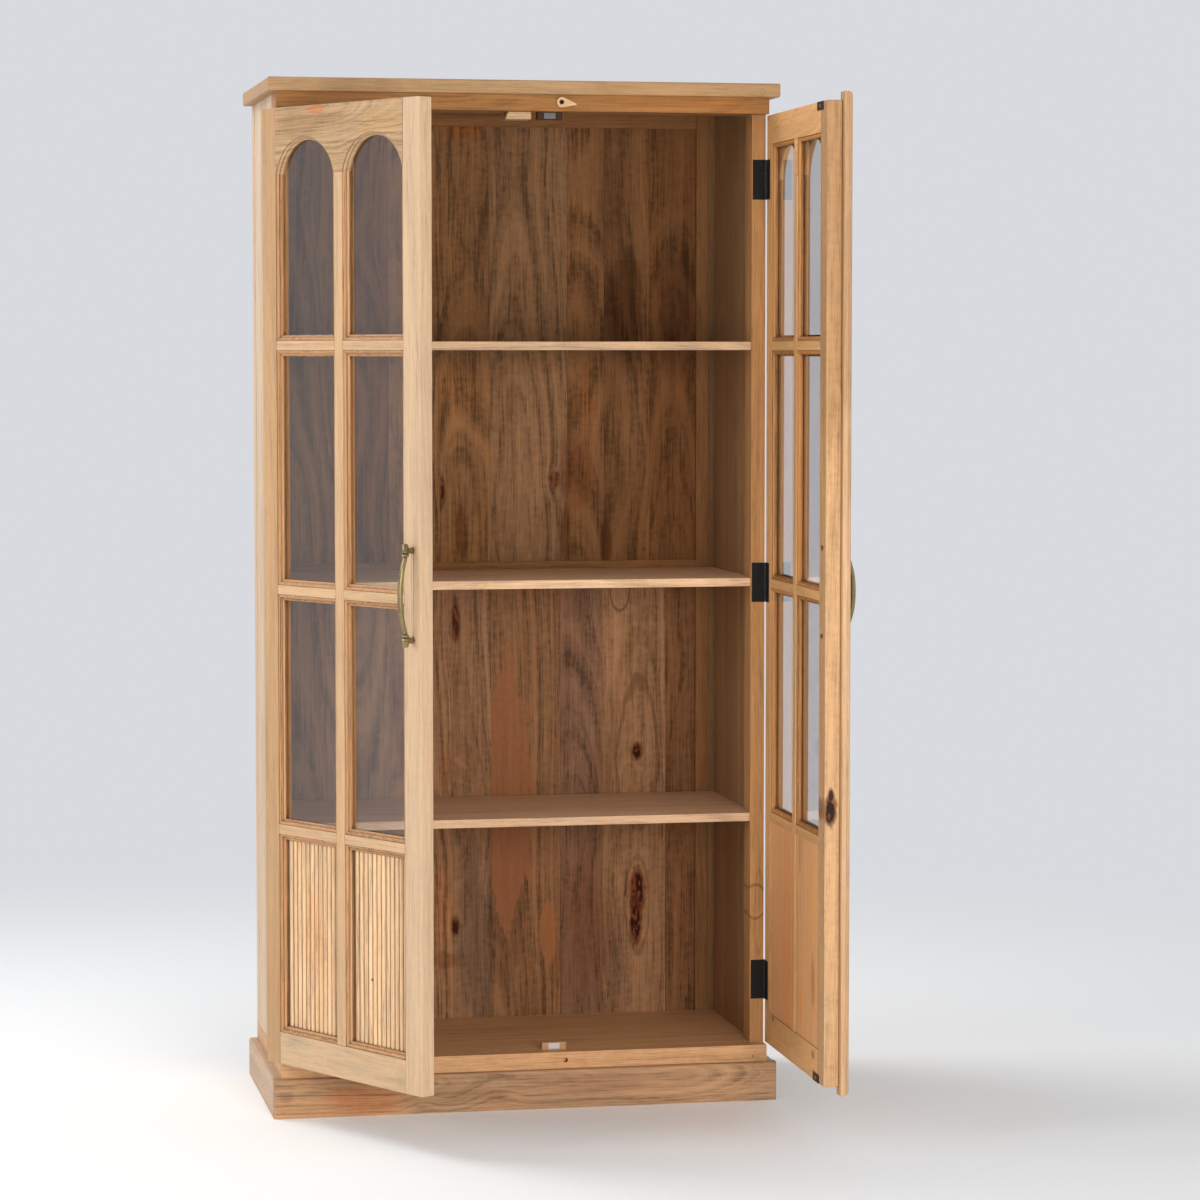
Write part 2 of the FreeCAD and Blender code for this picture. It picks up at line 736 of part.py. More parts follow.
def make_fixed_hinge_pieces():
    """The leaves on the posts and the pins, three on each side."""
    leaves = []
    pins = []
    for name, side in (("left", 1), ("right", -1)):
        for place, low in enumerate(hinge_low_edges()):
            leaf = make_leaf(f"{name}_frame_leaf_{place}", side, 1, low, door_knuckles())
            pin = make_pin(f"{name}_pin_{place}", low)
            for piece in (leaf, pin):
                stand_on_hinge_line(piece, side)
            leaves.append(leaf)
            pins.append(pin)
    keep(group("hinge_post_leaves", leaves))
    keep(group("hinge_pins", pins))


# Doors. A side of 1 draws the left door, whose free edge lies at +X of its hinge line when closed.

def hang(piece, side):
    """Hang a piece of a door on its hinge line at the opening where the door rests."""
    piece.Placement = Placement(Vector(0, 0, 0), Rotation(Vector(0, 0, 1), 1))
    stand_on_hinge_line(piece, side)
    opening = "0 - left_door_angle" if side > 0 else "right_door_angle"
    bind(piece, Placement__Rotation__Angle=opening)
    return keep(piece)


def across_door(side, corners):
    """Corners of a door's outline, mirrored for the right door."""
    return [(f"{side} * ({across})", along) for across, along in corners]


def door_board(name, side, left, right, low, high):
    """A board of the door's frame, of the door's full thickness."""
    body = new_body(name)
    loop = across_door(side, rectangle(left, low, right, high))
    pad(body, front_sketch(body, "door_inner_face", [loop]), "door_thickness")
    return body


COLUMNS = (("stile_inner", "upright_near"), ("upright_far", "meeting_inner"))
PANEL_ROW = ("rail_top", "lower_bar_centre - cross_bar_height / 2")
LOWER_ROW = ("lower_bar_centre + cross_bar_height / 2", "middle_bar_centre - cross_bar_height / 2")
MIDDLE_ROW = ("middle_bar_centre + cross_bar_height / 2", "upper_bar_centre - cross_bar_height / 2")
UPPER_ROW = ("upper_bar_centre + cross_bar_height / 2", "spring_height")


def make_stiles(name, side):
    """The hinge stile, let in for the door leaves and the barrels, and the meeting stile."""
    body = door_board(f"{name}_hinge_stile", side, "hinge_pin_offset", "stile_inner",
                      "door_bottom", "door_top")
    recesses = [across_door(side, rectangle("hinge_pin_offset - cut_overrun", low,
                                            "hinge_leaf_end", f"{low} + hinge_leaf_height"))
                for low in hinge_low_edges()]
    cut(body, front_sketch(body, "door_inner_face", recesses), "hinge_leaf_thickness", forward=True)
    notches = [across_door(side, corners)
               for corners in hinge_notches("hinge_pin_offset - cut_overrun", "hinge_notch_reach")]
    cut(body, front_sketch(body, "door_inner_face", notches), "hinge_notch_depth", forward=True)
    hang(body, side)
    body = door_board(f"{name}_meeting_stile", side, "meeting_inner", "door_free_edge",
                      "door_bottom", "door_top")
    holes = [(f"{side} * handle_place", f"handle_height + {end} * handle_spacing / 2",
              "handle_screw_radius + handle_screw_clearance") for end in (-1, 1)]
    cut(body, front_sketch(body, "door_face", circles=holes), "door_thickness")
    hang(body, side)


def make_bars(name, side):
    """The bottom rail, the upright bar and the short cross bars on each side of it."""
    hang(door_board(f"{name}_bottom_rail", side, "stile_inner", "meeting_inner",
                    "door_bottom", "rail_top"), side)
    hang(door_board(f"{name}_upright_bar", side, "upright_near", "upright_far",
                    "rail_top", "spring_height"), side)
    bars = [door_board(f"{name}_cross_bar", side, left, right, f"{centre} - cross_bar_height / 2",
                       f"{centre} + cross_bar_height / 2")
            for centre in ("lower_bar_centre", "middle_bar_centre", "upper_bar_centre")
            for left, right in COLUMNS]
    hang(group(f"{name}_cross_bars", bars), side)


def arch_loop(side, left, right, inset, crown):
    """An arched head from the spring line up, held in from the opening's sides and crown."""
    foot = "spring_height - cut_overrun"
    near_side, far_side = f"({left} + {inset})", f"({right} - ({inset}))"
    apex = f"(arch_apex - ({crown}))"
    half = f"(({far_side} - {near_side}) / 2)"
    rise = f"({apex} - spring_height)"
    radius = f"({half} ^ 2 + {rise} ^ 2) / (2 * {rise})"
    middle = f"({near_side} + {far_side}) / 2"
    corners = across_door(side, [(near_side, foot), (far_side, foot), (far_side, "spring_height"),
                                 (near_side, "spring_height")])
    corners[2] += (f"{side} * ({middle})", apex, radius)
    return corners


def make_arch_rail(name, side):
    """The rail with two arched heads: square behind for the panes, moulded in front."""
    body = door_board(f"{name}_arch_rail", side, "stile_inner", "meeting_inner", "spring_height", "door_top")
    heads = [across_door(side, rectangle(left, "spring_height - cut_overrun", right, "arch_apex"))
             for left, right in COLUMNS]
    cut(body, front_sketch(body, "door_inner_face", heads), "door_thickness - moulding_depth", forward=True)
    inner = [arch_loop(side, left, right, "moulding_width", "moulding_crown_width")
             for left, right in COLUMNS]
    cut(body, front_sketch(body, "door_face", inner), "door_thickness")
    outer = [arch_loop(side, left, right, "0", "0") for left, right in COLUMNS]
    cut(body, front_sketch(body, "door_face", outer), "moulding_quirk")
    step = [arch_loop(side, left, right, f"{step_share} * moulding_width",
                      f"{step_share} * moulding_crown_width") for left, right in COLUMNS]
    cut(body, front_sketch(body, "door_face", step), "moulding_quirk + moulding_step")
    bevel_moulding(body, [
        ("door_face + moulding_quirk", "moulding_outer_bevel",
         {"crowns": [f"arch_apex - {step_share} * moulding_crown_width"]}),
        ("door_face + moulding_quirk + moulding_step", "moulding_inner_bevel",
         {"crowns": ["arch_apex - moulding_crown_width"]})])
    return hang(body, side)


def bevel_moulding(body, loops):
    """Bevel the front arrises of a moulding's steps; each loop gives a depth, a size and its outline."""
    for level, size, outline in loops:
        bevel_edges(body, size, lambda box: near(box.YMin, level) and near(box.YMax, level)
                    and runs_along(box, outline))


def runs_along(box, outline):
    """Whether an edge runs along one of the outline's named sides or has its named top."""
    if box.ZLength < match_tolerance:
        return any(near(box.ZMin, place) for place in outline.get("ends", ()))
    if box.XLength < match_tolerance and any(near(box.XMin, place) for place in outline.get("sides", ())):
        return True
    return any(near(box.ZMax, place) for place in outline.get("crowns", ()))


def frame_loops(side, left, low, right, high, inset, open_top):
    """The inner outline of a moulding; an open one runs out of the top under the arch rail."""
    top = f"{high} + cut_overrun" if open_top else f"{high} - ({inset})"
    return across_door(side, rectangle(f"{left} + {inset}", f"{low} + {inset}", f"{right} - ({inset})", top))


def make_moulding(name, side, left, low, right, high, open_top):
    """A mitred moulding: a quirk below the door's face, a rounded step and a second one inside it."""
    body = new_body(name)
    outer = across_door(side, rectangle(left, low, right, high))
    pad(body, front_sketch(body, "moulding_back", [outer]), "moulding_depth - moulding_quirk")
    face = "door_face + moulding_quirk"
    inner = frame_loops(side, left, low, right, high, "moulding_width", open_top)
    cut(body, front_sketch(body, face, [inner]), "moulding_depth - moulding_quirk")
    step = frame_loops(side, left, low, right, high, f"{step_share} * moulding_width", open_top)
    cut(body, front_sketch(body, face, [step]), "moulding_step")
    bevels = []
    for level, size, inset in ((face, "moulding_outer_bevel", f"{step_share} * moulding_width"),
                                 (f"{face} + moulding_step", "moulding_inner_bevel", "moulding_width")):
        bevels.append((level, size, {
            "sides": [f"{side} * ({left} + {inset})", f"{side} * ({right} - {inset})"],
            "ends": [f"{low} + {inset}", f"{high} - {inset}"]}))
    bevel_moulding(body, bevels)
    return body


def make_mouldings(name, side):
    """A moulding round each opening; those of the top row stop under the arch rail."""
    rows = ((PANEL_ROW, False), (LOWER_ROW, False), (MIDDLE_ROW, False), (UPPER_ROW, True))
    frames = [make_moulding(f"{name}_moulding", side, left, low, right, high, open_top)
              for (low, high), open_top in rows for left, right in COLUMNS]
    hang(group(f"{name}_mouldings", frames), side)


def make_panes(name, side):
    """Flat panes behind the mouldings; those of the top row have square heads behind the arches."""
    def pane(left, right, low, high):
        body = new_body(f"{name}_pane")
        play = "pane_clearance"
        loop = rectangle(f"{left} + {play}", f"{low} + {play}", f"{right} - {play}", f"{high} - {play}")
        pad(body, front_sketch(body, "pane_back", [across_door(side, loop)]), "pane_thickness")
        return body
    upper = [pane(left, right, UPPER_ROW[0], "arch_apex") for left, right in COLUMNS]
    lower = [pane(left, right, low, high)
             for low, high in (LOWER_ROW, MIDDLE_ROW) for left, right in COLUMNS]
    hang(group(f"{name}_upper_panes", upper), side)
    hang(group(f"{name}_lower_panes", lower), side)


def make_beads(name, side):
    """Mitred beads that hold the panes from behind, rounded towards the opening."""
    def bead(left, right, low, high):
        body = new_body(f"{name}_bead")
        outer = across_door(side, rectangle(left, low, right, high))
        inner = frame_loops(side, left, low, right, high, "bead_width", False)
        back = "pane_back + bead_depth"
        pad(body, front_sketch(body, back, [outer, inner]), "bead_depth")
        bevel_moulding(body, [(back, "bead_bevel", {
            "sides": [f"{side} * ({left} + bead_width)", f"{side} * ({right} - bead_width)"],
            "ends": [f"{low} + bead_width", f"{high} - bead_width"]})])
        return body
    rows = ((LOWER_ROW[0], LOWER_ROW[1]), (MIDDLE_ROW[0], MIDDLE_ROW[1]), (UPPER_ROW[0], "arch_apex"))
    beads = [bead(left, right, low, high) for low, high in rows for left, right in COLUMNS]
    hang(group(f"{name}_glazing_beads", beads), side)


def make_reeded_panels(name, side):
    """Boards with upright half-round reeds, set behind the lower mouldings."""
    low, high = PANEL_ROW
    panels = []
    for left, right in COLUMNS:
        body = new_body(f"{name}_reeded_panel")
        rear = "moulding_back + panel_thickness"
        outer = across_door(side, rectangle(left, low, right, high))
        pad(body, front_sketch(body, rear, [outer]), "panel_thickness - reed_height")
        pitch = f"(({right}) - ({left}) - 2 * moulding_width) / reed_count"
        start = f"({left} + moulding_width + reed_gap / 2)"
        end = f"({left} + moulding_width + {pitch} - reed_gap / 2)"
        valley, crown = "(moulding_back + reed_height)", "moulding_back"
        half = f"(({end} - {start}) / 2)"
        radius = f"({half} ^ 2 + reed_height ^ 2) / (2 * reed_height)"
        arc = (f"{side} * ({start} + {end}) / 2", crown, radius)
        loop = [(f"{side} * {end}", valley), (f"{side} * {start}", valley)]
        loop[1] += arc
        reed = pad(body, new_sketch(body, "XY_Plane", low, [loop]), f"({high}) - ({low})")
        pattern = body.newObject("PartDesign::LinearPattern", f"{body.Name}_reeds")
        pattern.Originals = [reed]
        pattern.Direction = (next(part for part in body.Origin.OriginFeatures if part.Role == "X_Axis"), [""])
        pattern.Reversed = side < 0
        bind(pattern, Length=f"{pitch} * (reed_count - 1)", Occurrences="reed_count")
        body.Tip = pattern
        doc.recompute()
        panels.append(body)
    hang(group(f"{name}_reeded_panels", panels), side)


def make_door_leaves(name, side):
    """The three hinge leaves that are let into the hinge stile."""
    leaves = [make_leaf(f"{name}_door_leaf_{place}", side, -1, low, post_knuckles())
              for place, low in enumerate(hinge_low_edges())]
    hang(group(f"{name}_hinge_leaves", leaves), side)


# Bow handles

def bow_section(side, rise, swell, flute):
    """Cross section of the bow: round at its ends, and with a ridge between two flutes along the front."""
    steps = len(fluted_section_shares) - 1
    corners = []
    for count in range(2 * steps):
        fluted = fluted_section_shares[min(count, 2 * steps - count)]
        reach = swell * (1 + flute * (fluted - 1))
        bearing = math.pi * count / steps
        across = f"{side} * handle_place + {reach * math.sin(bearing):.4f} * handle_bow_radius"
        out = f"{rise} * handle_bow_rise + {reach * math.cos(bearing):.4f} * handle_bow_radius"
        corners.append((across, f"handle_axis - ({out})"))
    return corners


def make_handle(name, side):
    """A cast bow pull: a swelling, fluted grip between two ringed finials, on two short posts."""
    body = new_body(f"{name}_handle")
    half = list(zip(bow_station_shares, bow_rise_shares, bow_radius_shares, bow_flute_shares))
    stations = [(0 - share, *rest) for share, *rest in half] + half[-2::-1]
    sections = [new_sketch(body, "XY_Plane", f"handle_height + {share} * handle_bow_end",
                           [bow_section(side, rise, swell, flute)]) for share, rise, swell, flute in stations]
    bow = body.newObject("PartDesign::AdditiveLoft", f"{body.Name}_bow")
    bow.Profile = sections[0]
    bow.Sections = sections[1:]
    bow.Ruled = True
    doc.recompute()
    loops = [finial_loop(end) for end in (-1, 1)]
    turn(body, front_sketch(body, "handle_axis", loops, shift=(f"{side} * handle_place", "handle_height")))
    posts = [(f"{side} * handle_place", f"handle_height + {end} * handle_spacing / 2", "handle_post_radius")
             for end in (-1, 1)]
    pad(body, front_sketch(body, "door_face", circles=posts), "handle_standoff")
    holes = [(f"{side} * handle_place", f"handle_height + {end} * handle_spacing / 2",
              "handle_screw_radius + handle_screw_clearance") for end in (-1, 1)]
    cut(body, front_sketch(body, "door_face", circles=holes), "handle_thread_length", forward=True)
    return hang(body, side)


def finial_loop(end):
    """Half section of a finial: two rings parted by a groove, then a barrel with a faceted dome."""
    ring, barrel = "handle_ring_radius", "handle_finial_radius"
    neck = f"({finial_neck_share} * handle_finial_radius)"
    radii = ("0", ring, ring, neck, ring, ring, barrel)
    loop = [(radius, f"{end} * (handle_bow_end + {share} * handle_ring_thickness)")
            for radius, share in zip(radii, finial_step_shares)]
    crown = f"(handle_bow_end + {finial_step_shares[-1]} * handle_ring_thickness + handle_finial_length)"
    loop += [(f"{width} * {barrel}", f"{end} * ({crown} - {drop} * {barrel})")
             for width, drop in zip(dome_width_shares, dome_drop_shares)]
    return loop


def make_handle_screws(name, side):
    """The two screws that hold the handle from inside the door."""
    screws = []
    for end in (-1, 1):
        body = new_body(f"{name}_handle_screw")
        place = (f"{side} * handle_place", f"handle_height + {end} * handle_spacing / 2")
        shank = place + ("handle_screw_radius",)
        head = place + ("handle_screw_head_radius",)
        pad(body, front_sketch(body, "door_inner_face", circles=[shank]),
            "door_thickness + handle_thread_length")
        pad(body, front_sketch(body, "door_inner_face + handle_screw_head_height", circles=[head]),
            "handle_screw_head_height")
        screws.append(body)
    hang(group(f"{name}_handle_screws", screws), side)


# Cover strip and strike plates of the right door

def make_cover_strip(side):
    """The strip that laps over the left door: a flat base with a half-round bead, ends rounded over."""
    body = new_body("cover_strip")
    bead_near, bead_far = "strip_centre - strip_bead_width / 2", "strip_centre + strip_bead_width / 2"
    radius = "((strip_bead_width / 2) ^ 2 + strip_bead_height ^ 2) / (2 * strip_bead_height)"
    lip_back = "door_face - strip_relief"
    corners = across_door(side, [
        ("strip_inner", "door_face"), ("door_free_edge", "door_face"), ("door_free_edge", lip_back),
        ("strip_outer", lip_back), ("strip_outer", "strip_base_face"), (bead_far, "strip_base_face"),
        (bead_near, "strip_base_face"), ("strip_inner", "strip_base_face")])
    corners[5] += (f"{side} * strip_centre", "strip_face", radius)
    low, high = "door_bottom - strip_extension", "door_top + strip_extension"
    pad(body, new_sketch(body, "XY_Plane", low, [corners]), f"({high}) - ({low})")
    beyond = f"{side} * (strip_outer + cut_overrun)" if side > 0 else f"{side} * (strip_inner - cut_overrun)"
    for end, level in ((1, high), (-1, low)):
        inward = f"{level} - {end} * strip_end_round"
        outward = f"{level} + {end} * cut_overrun"
        slant = "strip_end_round * sqrt(1 / 2)"
        waste = [("strip_face", inward, f"strip_face + strip_end_round - {slant}",
                  f"{inward} + {end} * {slant}", "strip_end_round"),
                 ("strip_face + strip_end_round", level), ("strip_face + strip_end_round", outward),
                 ("strip_face - cut_overrun", outward), ("strip_face - cut_overrun", inward)]
        cut(body, new_sketch(body, "YZ_Plane", beyond, [waste]), "strip_width + 2 * cut_overrun")
    return hang(body, side)


def make_strikes(side):
    """Steel plates on the door's inner face, one facing each catch when the door is closed."""
    plates = []
    for name, place, low in (("lower", "bottom_catch_place", "door_bottom"),
                             ("upper", "top_catch_place", "door_top - strike_height")):
        body = new_body(f"{name}_strike")
        centre = f"(hinge_side - {place})"
        loop = across_door(side, rectangle(f"{centre} - strike_width / 2", low,
                                           f"{centre} + strike_width / 2", f"{low} + strike_height"))
        pad(body, front_sketch(body, "door_inner_face + strike_thickness", [loop]), "strike_thickness")
        plates.append(body)
    hang(group("strike_plates", plates), side)


def make_door(name, side):
    """All the pieces that the two doors share."""
    make_stiles(name, side)
    make_bars(name, side)
    make_arch_rail(name, side)
    make_mouldings(name, side)
    make_panes(name, side)
    make_beads(name, side)
    make_reeded_panels(name, side)
    make_door_leaves(name, side)
    make_handle(name, side)
    make_handle_screws(name, side)


def check_and_write():
    """See that every object came out whole, then write one file for each sub-part."""
    doc.recompute()
    for thing in doc.Objects:
        if "Invalid" in thing.State or "Error" in thing.State:
            raise RuntimeError(f"{thing.Name}: {thing.State}")
    for piece in pieces:
        if piece.Shape.isNull() or not piece.Shape.isValid():
            raise RuntimeError(f"{piece.Label}: shape is null or not valid")
    os.makedirs("parts", exist_ok=True)
    for piece in pieces:
        piece.Shape.exportStep(f"parts/{piece.Label}.step")
        print(f"{piece.Label}: {len(piece.Shape.Solids)} solids, {piece.Shape.Volume / 1000:.1f} cm3")


make_top()
make_frieze()
make_plinth()
make_floor()
make_posts("left", -1)
make_posts("right", 1)
make_side_boards("left", -1)
make_side_boards("right", 1)
make_shelf("lower_shelf", "lower_shelf_height")
make_shelf("middle_shelf", "middle_shelf_height")
make_shelf("upper_shelf", "upper_shelf_height")
make_back()
make_catches()
make_stop()
make_turn_button()
make_fixed_hinge_pieces()
make_door("left", 1)
make_door("right", -1)
make_cover_strip(-1)
make_strikes(-1)
check_and_write()
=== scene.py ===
"""Looks of a glass cabinet in pale wood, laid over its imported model."""

import json
import math

import bmesh
import bpy
from mathutils import Euler, Matrix, Vector


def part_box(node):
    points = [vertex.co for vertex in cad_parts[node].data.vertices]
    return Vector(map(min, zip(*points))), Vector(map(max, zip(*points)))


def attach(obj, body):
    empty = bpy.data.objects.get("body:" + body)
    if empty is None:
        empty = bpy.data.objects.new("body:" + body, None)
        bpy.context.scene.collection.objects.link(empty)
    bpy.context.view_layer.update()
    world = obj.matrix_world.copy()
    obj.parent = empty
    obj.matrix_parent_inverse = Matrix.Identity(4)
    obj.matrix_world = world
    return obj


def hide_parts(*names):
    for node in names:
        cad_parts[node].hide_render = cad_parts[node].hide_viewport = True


bl_info = {
    "name": "Glass Cabinet Looks",
    "version": (1, 0, 0),
    "blender": (4, 5, 0),
    "location": "View3D > Sidebar > Cabinet",
    "description": "Wood, glass and brass finishes for a cabinet with two glazed doors",
    "category": "Object",
}

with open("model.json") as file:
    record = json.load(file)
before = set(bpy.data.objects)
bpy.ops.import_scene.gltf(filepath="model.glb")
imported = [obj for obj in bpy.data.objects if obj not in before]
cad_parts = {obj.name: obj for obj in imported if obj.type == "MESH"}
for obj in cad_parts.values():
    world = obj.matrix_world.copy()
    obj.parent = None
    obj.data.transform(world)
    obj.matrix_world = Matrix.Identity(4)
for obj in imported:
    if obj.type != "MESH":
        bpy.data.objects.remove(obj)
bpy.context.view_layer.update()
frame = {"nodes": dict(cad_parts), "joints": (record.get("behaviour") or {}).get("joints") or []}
NODES = frame["nodes"]

# Each door's hinge line, and how far the door stands open at rest

HINGES = {
    joint["name"].split("_")[0]: (
        Vector((joint["pos_m"][0], joint["pos_m"][1], 0)), math.radians(-joint["range_deg"][0])
    )
    for joint in frame["joints"] if joint["name"].endswith("_door_hinge")
}


def door_ways(side):
    """A door's directions at rest: along it from its hinge line, and out of its inner face."""
    angle = HINGES[side][1]
    hand = 1 if side == "left" else -1
    along = Vector((hand * math.cos(angle), -math.sin(angle), 0))
    inward = Vector((hand * math.sin(angle), math.cos(angle), 0))
    return along, inward


def door_point(side, along, inward, height):
    """A point of a door at rest, from its hinge line."""
    ahead, inside = door_ways(side)
    return HINGES[side][0] + along * ahead + inward * inside + Vector((0, 0, height))


def door_turn(side):
    """The turn that lays a door's length along the x axis of its finish."""
    along = door_ways(side)[0]
    return Matrix.Rotation(-math.atan2(along.y, along.x), 3, "Z")


# Turns that lay a piece's grain along the z axis of its finish

UPRIGHT = Matrix.Identity(3)
ACROSS = Matrix.Rotation(math.radians(-90), 3, "Y")
FRONT_TO_BACK = Matrix.Rotation(math.radians(90), 3, "X")
DOOR_TURNS = {side: door_turn(side) for side in HINGES}


def middle_of(name):
    low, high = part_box(name)
    return (low + high) / 2


def on_front(name, marks):
    """Marks on the front of a piece, each given how far it is right of the cabinet's middle and how high."""
    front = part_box(name)[0].y
    return tuple(((x, front, z), *rest) for (x, z), *rest in marks)


def tone(red, green, blue):
    """A colour written as on a colour card, 0 to 255, as the shaders take it."""
    return tuple(((c / 255 + 0.055) / 1.055) ** 2.4 if c > 10 else c / 3294.6 for c in (red, green, blue))


def opaque(colour):
    return (*colour, 1.0)


class CabinetLooks(bpy.types.PropertyGroup):
    """Sizes and colours that a user may change before the cabinet is dressed."""

    def colour(name, description, default):
        return bpy.props.FloatVectorProperty(
            name=name, description=description, default=default, subtype="COLOR", size=3, min=0, max=1
        )

    def length(name, description, default):
        return bpy.props.FloatProperty(
            name=name, description=description, default=default, min=0, unit="LENGTH", precision=5
        )

    def power(name, description, default):
        return bpy.props.FloatProperty(
            name=name, description=description, default=default, min=0, unit="POWER"
        )

    door_tone: colour("Door wood", "Main colour of the doors", tone(205, 171, 136))
    front_tone: colour("Front wood", "Main colour of posts, frieze and plinth", tone(176, 129, 82))
    top_tone: colour("Top wood", "Main colour of the top board", tone(172, 136, 97))
    side_tone: colour("Side wood", "Main colour of the side boards", tone(205, 175, 143))
    # The back boards' colour is dark partly by their own tone and partly as painted shade of the cabinet's
    # inside
    back_tone: colour("Back wood", "Main colour of the back boards", tone(123, 85, 53))
    shelf_tone: colour("Shelf wood", "Main colour of the shelves", tone(196, 160, 126))
    moulding_tone: colour("Moulding wood", "Main colour of mouldings and beads", tone(180, 135, 94))
    reed_tone: colour("Reeded wood", "Main colour of the reeded panels", tone(214, 178, 138))
    brass_tone: colour("Brass", "Rubbed parts of the handles", tone(164, 146, 104))
    glass_tone: colour("Glass", "Tint of the panes", tone(244, 247, 250))
    wall_tone: colour("Backdrop", "What is seen behind the cabinet", tone(216, 218, 223))
    floor_tone: colour("Floor", "Plain floor under the cabinet", tone(252, 253, 254))
    edge_ease: length("Edge ease", "Width of the eased edges of the wood", 0.0011)
    board_ease: length("Board ease", "Width of the eased edges between boards", 0.0005)
    trim_ease: length("Trim ease", "Width of the eased edges of mouldings and beads", 0.0004)
    screw_radius: length("Hinge screws", "Radius of the screw heads on the hinges", 0.0036)
    front_power: power("Front lamp", "Power of the lamp in front", 215)
    left_power: power("Left lamp", "Power of the lamp on the left", 116)
    high_power: power("High lamp", "Power of the lamp above", 95)
    sky_strength: bpy.props.FloatProperty(
        name="Room light", description="Even light of the room", default=0.53, min=0
    )


# Finishes


class Recipe:
    """One finish: a material or a world, and short calls that add its nodes."""

    def __init__(self, name, owner=None):
        self.owner = owner or bpy.data.materials.new(name)
        self.owner.use_nodes = True
        self.tree = self.owner.node_tree
        self.tree.nodes.clear()

    def feed(self, socket, value):
        """Links another node's socket to socket, or sets a plain value on it."""
        if isinstance(value, bpy.types.NodeSocket):
            self.tree.links.new(value, socket)
        else:
            socket.default_value = value

    def node(self, kind, fed=(), **settings):
        made = self.tree.nodes.new("ShaderNode" + kind)
        for setting, value in settings.items():
            setattr(made, setting, value)
        for socket, value in dict(fed).items():
            self.feed(made.inputs[socket], value)
        return made

    def calc(self, operation, first, second=0.0, third=0.0):
        return self.node("Math", {0: first, 1: second, 2: third}, operation=operation).outputs[0]

    def move(self, vector, shift):
        return self.node("VectorMath", {0: vector, 1: shift}, operation="ADD").outputs[0]

    def stretch(self, vector, scales):
        return self.node("VectorMath", {0: vector, 1: scales}, operation="MULTIPLY").outputs[0]

    def reach(self, vector):
        return self.node("VectorMath", {0: vector}, operation="LENGTH").outputs["Value"]

    def parts(self, vector):
        return self.node("SeparateXYZ", {0: vector}).outputs

    def cloud(self, vector, scales, detail=2.0, rough=0.5, socket="Fac"):
        """Noise with so many waves to a metre across, through and along the grain."""
        fed = {"Vector": self.stretch(vector, scales), "Scale": 1.0, "Detail": detail, "Roughness": rough}
        return self.node("TexNoise", fed).outputs[socket]

    def line(self, value, detail, rough):
        """Noise along a single value."""
        fed = {"W": value, "Scale": 1.0, "Detail": detail, "Roughness": rough}
        return self.node("TexNoise", fed, noise_dimensions="1D").outputs["Fac"]

    def between(self, value, low, high, start=0.0, end=1.0):
        """Goes smoothly from start to end while value goes from low to high."""
        fed = {"Value": value, "From Min": low, "From Max": high, "To Min": start, "To Max": end}
        return self.node("MapRange", fed, interpolation_type="SMOOTHSTEP").outputs[0]

    def ramp(self, value, *stops):
        made = self.node("ValToRGB", {"Fac": value})
        elements = made.color_ramp.elements
        while len(elements) < len(stops):
            elements.new(0.5)
        for element, (place, colour) in zip(elements, stops):
            element.position = place
            element.color = opaque(colour)
        return made.outputs["Color"]

    def mix(self, share, first, second, how="MIX"):
        made = self.node("Mix", {0: share}, data_type="RGBA", blend_type=how)
        for socket, value in ((6, first), (7, second)):
            self.feed(made.inputs[socket], opaque(value) if isinstance(value, tuple) else value)
        return made.outputs[2]

    def bump(self, height, strength, distance):
        return self.node("Bump", {"Height": height, "Strength": strength, "Distance": distance}).outputs[0]

    def seen(self):
        """1 for the rays that see a backdrop: the camera's own, and those in a gloss or through glass."""
        rays = self.node("LightPath").outputs
        mirrored = self.calc("MAXIMUM", rays["Is Glossy Ray"], rays["Is Transmission Ray"])
        return self.calc("MAXIMUM", rays["Is Camera Ray"], mirrored)

    def surface(self, shader, output="OutputMaterial"):
        self.feed(self.node(output).inputs["Surface"], shader)
        return self.owner

    def coat(self, **fed):
        """The main shader, with its sockets' names written in small letters."""
        named = {key.replace("_", " ").title().replace("Ior", "IOR"): value for key, value in fed.items()}
        return self.node("BsdfPrincipled", named).outputs[0]


def shade(colour, factor):
    return tuple(min(1.0, c * factor) for c in colour)


def tinted(colour, tint):
    return tuple(min(1.0, c * t) for c, t in zip(colour, tint))


# Tints that a finish is multiplied by, and the colours of its knots and flames

WARM = (1.06, 0.87, 0.70)
COOL = (0.72, 0.72, 0.76)
PALE = (1.20, 1.24, 1.30)
# Colour that the painted shade of grooves and corners is multiplied towards
DEEP = (0.50, 0.44, 0.38)
CREVICE_SHADE = (0.22, 0.15, 0.10)
KNOT_DARK = tone(44, 22, 13)
KNOT_RIM = tone(92, 46, 26)
KNOT_HEART = tone(112, 58, 36)
SALMON = tone(142, 90, 60)
HONEY = tone(150, 96, 58)


# How far from the cabinet's middle its pale sides are seen from within, and the painted shade that darkens
# them there

INSIDE_SHADE = (0.4265, (0.56, 0.43, 0.30))
CORNER_SHADE = (0.4325, (0.30, 0.22, 0.15))


# What the finish of a wooden piece starts from

WOOD_LOOK = {
    "heart": (0.02, 0.05), "lean": 0.03, "ring": 0.0075, "warp": 0.012,
    "figure": 0.45, "fibre": 0.75, "streak": 0.55, "mottle": 0.12, "depth": 0.26,
    "warm": 0.3, "cool": 0.3, "pale": 0.3, "fleck": 0.3, "pore": 0.25,
    "board": False, "boards": False, "spread": 0.3,
    "patches": (), "flames": (), "eyes": (), "knots": (), "dots": (),
    # Painted shade in grooves and corners: how dark it gets and how far it reaches
    "inner": None, "stain": 0.0, "stain_reach": 0.006, "gloss": 0.52, "specular": 0.3,
}


# Waves of each pattern to a metre across, through and along the grain

